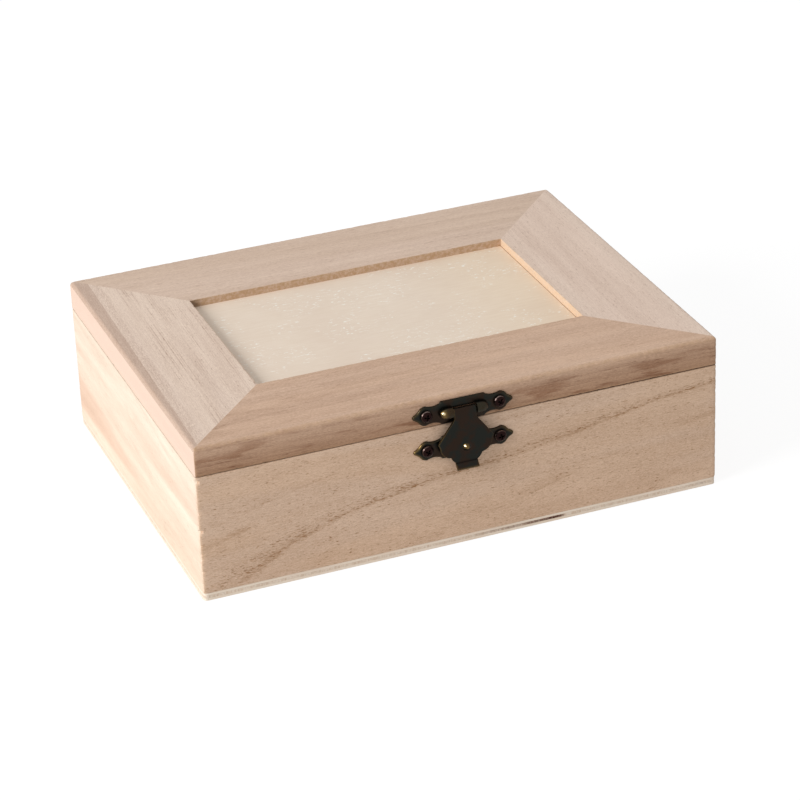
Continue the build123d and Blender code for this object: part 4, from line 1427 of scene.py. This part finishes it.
def fastener_tree():
    """Geometry Nodes that turn each vertex of the input into a screw or a brad: a domed
    head, with a cross recess where one is wanted, on a threaded or plain shank."""
    tree = bpy.data.node_groups.new("turned_fasteners", "GeometryNodeTree")
    face = tree.interface
    face.new_socket("Geometry", in_out="OUTPUT", socket_type="NodeSocketGeometry")
    face.new_socket("Geometry", in_out="INPUT", socket_type="NodeSocketGeometry")
    for label, default in HASP_SCREW.items():
        face.new_socket(label, in_out="INPUT", socket_type="NodeSocketFloat").default_value = default
    for label, kind in (("Facing", "Rotation"), ("Seed", "Int"), ("Material", "Material")):
        face.new_socket(label, in_out="INPUT", socket_type="NodeSocket" + kind)
    n = Nodes(tree)
    put = n.outputs(n.add("NodeGroupInput"))
    across, down, _ = n.xyz(n.signal("GeometryNodeInputPosition"))
    turn, down = (across + 0.5) * (2 * pi), down + 0.5
    dome = n.ramp(down, 0.0, HEAD_PART, smooth=False)
    neck = n.ramp(down, HEAD_PART, UNDER_PART, smooth=False)
    shank = n.ramp(down, UNDER_PART, 1.0, smooth=False)
    # the head is a flattened dome: the lower the fullness, the flatter its top
    lean = dome * (pi / 2)
    radius = put["Head Radius"] * n.math("SINE", lean) ** put["Fullness"]
    radius -= neck * (put["Head Radius"] - put["Core Radius"])
    above = n.math("MAXIMUM", n.math("COSINE", lean), 0.0)
    fall = shank * put["Length"]
    height = put["Head Height"] * above ** put["Fullness"] - fall
    # the thread winds once round for each pitch, and fades at the neck and the point
    wind = fall / put["Pitch"] - turn / (2 * pi)
    ridge = n.math("PINGPONG", n.math("FRACT", wind), 0.5) * (n.ramp(shank, 0.12, 0.2) * 2.0)
    radius += ridge * (put["Thread Radius"] - put["Core Radius"])
    radius *= n.ramp(shank, 0.75, 1.0, 1.0, 0.0, smooth=False)
    x, y = radius * n.math("COSINE", turn), radius * n.math("SINE", turn)
    # the cross recess, cut down from the dome
    half, reach = put["Cross Width"] / 2.0, put["Cross Reach"]
    one = n.math("MAXIMUM", abs(x) - half, abs(y) - reach)
    two = n.math("MAXIMUM", abs(y) - half, abs(x) - reach)
    recess = n.ramp(n.math("MINIMUM", one, two), -0.16 * MM, 0.03 * MM, 1.0, 0.0)
    recess *= n.ramp(radius, 0.0, reach, 1.0, 0.35, smooth=False)
    recess *= n.math("LESS_THAN", down, HEAD_PART)
    height -= recess * put["Cross Depth"]
    # the head's rim is lighter, partly rubbed and partly a painted highlight; the cross is painted
    # dark, as shade in the recess
    ring = n.ramp(dome, 0.62, 0.80) * n.ramp(dome, 0.98, 1.0, 1.0, 0.8)
    rubbed = n.math("MULTIPLY", ring, 1.0 - neck, clamp=True) * 0.8
    shape = n.signal("GeometryNodeMeshGrid", {"Size X": 1.0, "Size Y": 1.0, "Vertices X": TURNS,
                                              "Vertices Y": STEPS_DOWN}, "Mesh")
    for label, value in (("rim", rubbed), ("grime", recess)):
        held = {"Geometry": shape, "Name": label, "Value": value}
        shape = n.signal("GeometryNodeStoreNamedAttribute", held, data_type="FLOAT", domain="POINT")
    shape = n.signal("GeometryNodeSetPosition", {"Geometry": shape, "Position": n.joined_xyz(x, y, height)})
    shape = n.signal("GeometryNodeMergeByDistance", {"Geometry": shape, "Distance": WELD})
    copies = n.signal("GeometryNodeInstanceOnPoints", {"Points": put["Geometry"], "Instance": shape,
                                                       "Rotation": put["Facing"]})
    # each one stands turned by its own luck
    luck = n.signal("FunctionNodeRandomValue", {"Min": 0.0, "Max": pi / 2, "Seed": put["Seed"]}, "Value",
                    data_type="FLOAT")
    copies = n.signal("GeometryNodeRotateInstances", {"Instances": copies, "Rotation": n.joined_xyz(z=luck)})
    real = n.signal("GeometryNodeRealizeInstances", {"Geometry": copies})
    coated = n.signal("GeometryNodeSetMaterial", {"Geometry": real, "Material": put["Material"]})
    n.add("NodeGroupOutput", {"Geometry": coated})
    return tree


def make_fasteners(node, body, slot, places, facing, seed, material, sizes):
    """The screws or brads of one node, baked to a plain mesh."""
    mesh = bpy.data.meshes.new(node + "_turned")
    mesh.from_pydata([tuple(p) for p in places], [], [])
    piece = linked(node + "_turned", mesh)
    modifier = piece.modifiers.new("fasteners", "NODES")
    modifier.node_group = bpy.data.node_groups.get("turned_fasteners") or fastener_tree()
    keys = {item.name: item.identifier for item in modifier.node_group.interface.items_tree
            if item.in_out == "INPUT"}
    for label, value in dict(sizes, Facing=facing, Seed=seed, Material=material).items():
        modifier[keys[label]] = value
    bake(piece, SCREW_SHARP)
    if not piece.data.polygons:
        raise RuntimeError(node + "_turned came out empty")
    outward(piece.data)
    settle(piece, body, slot, node)


def outward(mesh):
    """Make a closed mesh's faces point out."""
    work = bmesh.new()
    work.from_mesh(mesh)
    bmesh.ops.recalc_face_normals(work, faces=work.faces)
    work.to_mesh(mesh)
    work.free()


def screw_spots(node, out):
    """Where a node's screws stand on the metal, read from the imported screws."""
    points = [v.co.x for v in frame["nodes"][node].data.vertices]
    groups = []
    for x in sorted({round(x / MM) for x in points}):
        if groups and x - groups[-1][-1] <= 2:
            groups[-1].append(x)
        else:
            groups.append([x])
    low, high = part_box(node)
    spots = []
    for group in groups:
        near = [x for x in points if group[0] - 1 < x / MM < group[-1] + 1]
        spots.append(((min(near) + max(near)) / 2, out, (low.z + high.z) / 2))
    return spots


# ================================================================ hinges
HINGE_EASE = 0.1 * MM
HINGE_SHARP = 45              # degrees, from where an edge of a hinge shows as sharp
SAME_POINT = 0.001 * MM
FLAT = radians(0.5)           # faces this near to one plane are one face


def eased_leaf(node, body, material):
    """A hinge leaf as it was packed, with its sharp edges taken off."""
    mesh = frame["nodes"][node].data.copy()
    work = bmesh.new()
    work.from_mesh(mesh)
    bmesh.ops.remove_doubles(work, verts=work.verts, dist=SAME_POINT)
    bmesh.ops.dissolve_limit(work, angle_limit=FLAT, verts=work.verts, edges=work.edges)
    work.to_mesh(mesh)
    work.free()
    mesh.materials.clear()
    mesh.materials.append(material)
    piece = linked(node + "_eased", mesh)
    softened(piece, "eased edges", 40, HINGE_EASE, 2)
    bake(piece, HINGE_SHARP)
    settle(piece, body, "antique_bronze", node)


def make_hinges(material):
    """The hinges' leaves and their pins."""
    for side in ("left", "right"):
        for body in ("box", "lid"):
            eased_leaf(f"hinge_{side}_{body}_leaf", body, material)
        finish_node(f"hinge_{side}_pin", material)


# ================================================================ stage
FLOOR_HALF = 6.0              # metres
FLOOR_DROP = 0.02 * MM        # the floor lies this far below the box
SENSOR_WIDTH = 36.0


def make_stage(settings):
    """A plain pale floor, soft light from the left and the camera."""
    floor_material(settings)
    world_light(settings)
    key = bpy.data.lights.new("key_softbox", "AREA")
    key.shape = "RECTANGLE"
    key.size, key.size_y = settings.key_size, settings.key_size
    key.energy = settings.key_power
    turn, rise = settings.key_turn, settings.key_rise
    away = Vector((-cos(turn) * cos(rise), -sin(turn) * cos(rise), sin(rise)))
    lamp = linked("key_softbox", key)
    lamp.location = away * settings.key_distance
    lamp.rotation_euler = (-lamp.location).to_track_quat("-Z", "Y").to_euler()
    make_camera(settings)


def make_camera(settings):
    """The camera, aimed past a point in the box from its azimuth, elevation and roll."""
    azimuth, elevation, roll = settings.view_azimuth, settings.view_elevation, settings.view_roll
    forward = Vector((sin(azimuth) * cos(elevation), cos(azimuth) * cos(elevation), -sin(elevation)))
    right = forward.cross(Vector((0, 0, 1))).normalized()
    up = right.cross(forward)
    level_right = right * cos(roll) + up * sin(roll)
    level_up = up * cos(roll) - right * sin(roll)
    lens = bpy.data.cameras.new("camera")
    lens.sensor_width = SENSOR_WIDTH
    lens.lens = settings.focal_length
    lens.clip_start, lens.clip_end = 0.01, 100.0
    camera = linked("camera", lens)
    basis = Matrix((level_right, level_up, -forward)).transposed().to_4x4()
    target = Vector(settings.view_target)
    camera.matrix_world = Matrix.Translation(target - forward * settings.view_distance) @ basis
    bpy.context.scene.camera = camera


def seen_or_lit(n, lit, seen):
    """One shader for the light that reaches the box, and another for what the camera and
    mirrors see."""
    rays = n.outputs(n.add("ShaderNodeLightPath"))
    direct = n.math("MAXIMUM", rays["Is Camera Ray"], rays["Is Glossy Ray"])
    direct = n.math("MAXIMUM", direct, rays["Is Transmission Ray"])
    return n.signal("ShaderNodeMixShader", {0: direct, 1: lit, 2: seen})


def floor_material(settings):
    """A floor that shows white to the camera and keeps a light shadow."""
    material = bpy.data.materials.new("studio_floor")
    material.use_nodes = True
    material.node_tree.nodes.clear()
    n = Nodes(material.node_tree)
    share = settings.shadow_share
    lit = n.signal("ShaderNodeBsdfDiffuse", {"Color": (*settings.floor_colour, 1)})
    soft = n.signal("ShaderNodeBsdfDiffuse", {"Color": (*[c * share for c in settings.floor_colour], 1)})
    glow = n.signal("ShaderNodeEmission", {"Strength": 1 - share * 0.55})
    shown(n, "Material", seen_or_lit(n, lit, n.signal("ShaderNodeAddShader", {0: soft, 1: glow})))
    half = FLOOR_HALF
    corners = [(-half, -half, 0), (half, -half, 0), (half, half, 0), (-half, half, 0)]
    floor = new_piece("studio_floor", corners, [(0, 1, 2, 3)], material)
    floor.location.z = FOOT_LOW.z - FLOOR_DROP


def world_light(settings):
    """Even light from all round, which the camera and metal see as white."""
    world = bpy.data.worlds.new("studio")
    world.use_nodes = True
    world.node_tree.nodes.clear()
    n = Nodes(world.node_tree)
    white = (1, 1, 1, 1)
    lit = n.signal("ShaderNodeBackground", {"Color": white, "Strength": settings.fill_strength})
    shown(n, "World", seen_or_lit(n, lit, n.signal("ShaderNodeBackground", {"Color": white})))
    bpy.context.scene.world = world


# ================================================================ add-on
class PhotoBoxFinish(bpy.types.PropertyGroup):
    """Colours and wear of the box."""

    bronze_skin: FloatVectorProperty(
        name="Bronze skin", description="Colour of the dark plating", subtype="COLOR",
        size=4, min=0, max=1, default=colour(45, 35, 29))
    bronze_patch: FloatVectorProperty(
        name="Bronze patches", description="Colour of the greener patches in the plating", subtype="COLOR",
        size=4, min=0, max=1, default=colour(36, 37, 34))
    brass: FloatVectorProperty(
        name="Brass", description="Colour where the plating is rubbed away", subtype="COLOR",
        size=4, min=0, max=1, default=colour(150, 122, 72))
    screw_skin: FloatVectorProperty(
        name="Screw skin", description="Colour of the screws' plating", subtype="COLOR",
        size=4, min=0, max=1, default=colour(36, 22, 21))
    # the screws' rim colour is partly rubbed plating and partly a painted highlight
    screw_rim: FloatVectorProperty(
        name="Screw rim", description="Colour of the screws' rubbed rims", subtype="COLOR",
        size=4, min=0, max=1, default=colour(196, 172, 163))
    rub: FloatProperty(
        name="Rub", description="How far the rims are rubbed to brass", subtype="FACTOR",
        min=0, max=1, default=0.6)
    screw_seed: IntProperty(
        name="Screw seed", description="Which way the screws' crosses happen to stand", default=3)


class PhotoBoxStudio(bpy.types.PropertyGroup):
    """The camera, the lights and the floor."""

    view_azimuth: FloatProperty(
        name="Azimuth", description="Where the camera looks, from +Y towards +X", subtype="ANGLE",
        default=radians(20.50))
    view_elevation: FloatProperty(
        name="Elevation", description="How far the camera looks down", subtype="ANGLE",
        default=radians(27.21))
    view_roll: FloatProperty(
        name="Roll", description="Turn of the camera about its own view", subtype="ANGLE",
        default=radians(-2.42))
    view_distance: FloatProperty(
        name="Distance", description="From the camera to its target", subtype="DISTANCE", unit="LENGTH",
        default=1.16534)
    view_target: FloatVectorProperty(
        name="Target", description="Point at the middle of the view", subtype="XYZ", unit="LENGTH",
        size=3, default=(-0.00132, -0.01614, 0.030))
    focal_length: FloatProperty(
        name="Focal length", description="Of a 36 mm wide sensor, in millimetres", unit="CAMERA",
        default=140.78)
    key_power: FloatProperty(
        name="Key power", description="Power of the softbox", unit="POWER", default=21.6)
    key_size: FloatProperty(
        name="Key size", description="Side of the softbox", subtype="DISTANCE", unit="LENGTH", default=0.72)
    key_distance: FloatProperty(
        name="Key distance", description="From the softbox to the box", subtype="DISTANCE", unit="LENGTH",
        default=1.75)
    key_turn: FloatProperty(
        name="Key turn", description="Of the softbox, from the left towards the front", subtype="ANGLE",
        default=radians(15))
    key_rise: FloatProperty(
        name="Key rise", description="Height of the softbox as an angle", subtype="ANGLE",
        default=radians(27))
    fill_strength: FloatProperty(
        name="Fill", description="Strength of the even light", min=0, default=0.56)
    floor_colour: FloatVectorProperty(
        name="Floor", description="Colour of the floor", subtype="COLOR", size=3, min=0, max=1,
        default=(0.8, 0.8, 0.8))
    shadow_share: FloatProperty(
        name="Shadow", description="How much of the floor's light the shadow takes", subtype="FACTOR",
        min=0, max=1, default=0.25)


SHEET_SATIN, SCREW_SATIN = 0.36, 0.25


def sheet_bronze(name, finish):
    """The plating of the hasp or the hinges."""
    return bronze_material(name, finish.bronze_skin, finish.bronze_patch, finish.brass, finish.rub,
                           SHEET_SATIN)


def make_screws(context, nodes, facing, out, seed, sizes):
    """The screws of one fitting: a node in the lid and a node in the body, in their order."""
    finish = context.scene.photobox_finish
    coat = bronze_material("screw_bronze", finish.screw_skin, finish.screw_skin, finish.screw_rim, finish.rub,
                           SCREW_SATIN)
    for offset, (node, body) in enumerate(nodes.items()):
        make_fasteners(node, body, "screw_bronze", screw_spots(node, out), facing,
                       finish.screw_seed + seed + offset, coat, sizes)


class PHOTOBOX_OT_body(bpy.types.Operator):
    """Make the four boards and the plywood bottom"""

    bl_idname = "photobox.body"
    bl_label = "Body"

    def execute(self, context):
        make_boards()
        make_bottom(plywood_material())
        return {"FINISHED"}


class PHOTOBOX_OT_lid(bpy.types.Operator):
    """Make the lid's four members and finish its panel"""

    bl_idname = "photobox.lid"
    bl_label = "Lid"

    def execute(self, context):
        make_lid()
        finish_node("picture_panel", panel_material())
        return {"FINISHED"}


class PHOTOBOX_OT_hasp(bpy.types.Operator):
    """Make the hasp's plates, its leaf and their screws"""

    bl_idname = "photobox.hasp"
    bl_label = "Hasp"

    def execute(self, context):
        bronze = sheet_bronze("hasp_bronze", context.scene.photobox_finish)
        make_hasp_plate(bronze)
        make_catch_plate(bronze)
        make_leaf(bronze)
        make_screws(context, {"hasp_plate_screws": "lid", "catch_plate_screws": "box"}, FRONT_FACING,
                    -HALF_DEPTH - SHEET + DISH_DEPTH, 0, HASP_SCREW)
        return {"FINISHED"}


class PHOTOBOX_OT_hinges(bpy.types.Operator):
    """Make the hinges and their screws"""

    bl_idname = "photobox.hinges"
    bl_label = "Hinges"

    def execute(self, context):
        make_hinges(sheet_bronze("hinge_bronze", context.scene.photobox_finish))
        make_screws(context, {"hinge_box_screws": "box", "hinge_lid_screws": "lid"}, BACK_FACING,
                    HALF_DEPTH + SHEET, 10, HINGE_SCREW)
        return {"FINISHED"}


class PHOTOBOX_OT_brads(bpy.types.Operator):
    """Make the brads under the bottom"""

    bl_idname = "photobox.brads"
    bl_label = "Brads"

    def execute(self, context):
        places = [(place.x, place.y, BRAD_SUNK) for place in brad_places()]
        make_fasteners("bottom_brads", "box", "bright_steel", places, DOWN_FACING, 1, steel_material(), BRAD)
        return {"FINISHED"}


class PHOTOBOX_OT_stage(bpy.types.Operator):
    """Set up the floor, the lights and the camera"""

    bl_idname = "photobox.stage"
    bl_label = "Stage"

    def execute(self, context):
        make_stage(context.scene.photobox_studio)
        return {"FINISHED"}


OPERATORS = (PHOTOBOX_OT_body, PHOTOBOX_OT_lid, PHOTOBOX_OT_hasp, PHOTOBOX_OT_hinges, PHOTOBOX_OT_brads,
             PHOTOBOX_OT_stage)


class VIEW3D_PT_photobox(bpy.types.Panel):
    """Lists the steps that dress the box"""

    bl_label = "Photo box"
    bl_idname = "VIEW3D_PT_photobox"
    bl_space_type = "VIEW_3D"
    bl_region_type = "UI"
    bl_category = "Photo box"

    def draw(self, context):
        layout = self.layout
        for operator in OPERATORS:
            layout.operator(operator.bl_idname)
        for settings in (context.scene.photobox_finish, context.scene.photobox_studio):
            column = layout.column()
            for name in settings.__annotations__:
                column.prop(settings, name)


CLASSES = (PhotoBoxFinish, PhotoBoxStudio, *OPERATORS, VIEW3D_PT_photobox)


def register():
    for one in CLASSES:
        bpy.utils.register_class(one)
    bpy.types.Scene.photobox_finish = PointerProperty(type=PhotoBoxFinish)
    bpy.types.Scene.photobox_studio = PointerProperty(type=PhotoBoxStudio)


def unregister():
    del bpy.types.Scene.photobox_studio
    del bpy.types.Scene.photobox_finish
    for one in reversed(CLASSES):
        bpy.utils.unregister_class(one)


def write_sizes():
    """Update the view layer."""
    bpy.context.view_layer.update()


def main():
    register()
    bpy.context.scene.view_settings.view_transform = "Standard"
    bpy.ops.photobox.body()
    bpy.ops.photobox.lid()
    bpy.ops.photobox.hasp()
    bpy.ops.photobox.hinges()
    bpy.ops.photobox.brads()
    bpy.ops.photobox.stage()
    write_sizes()


if __name__ == "__main__":
    main()
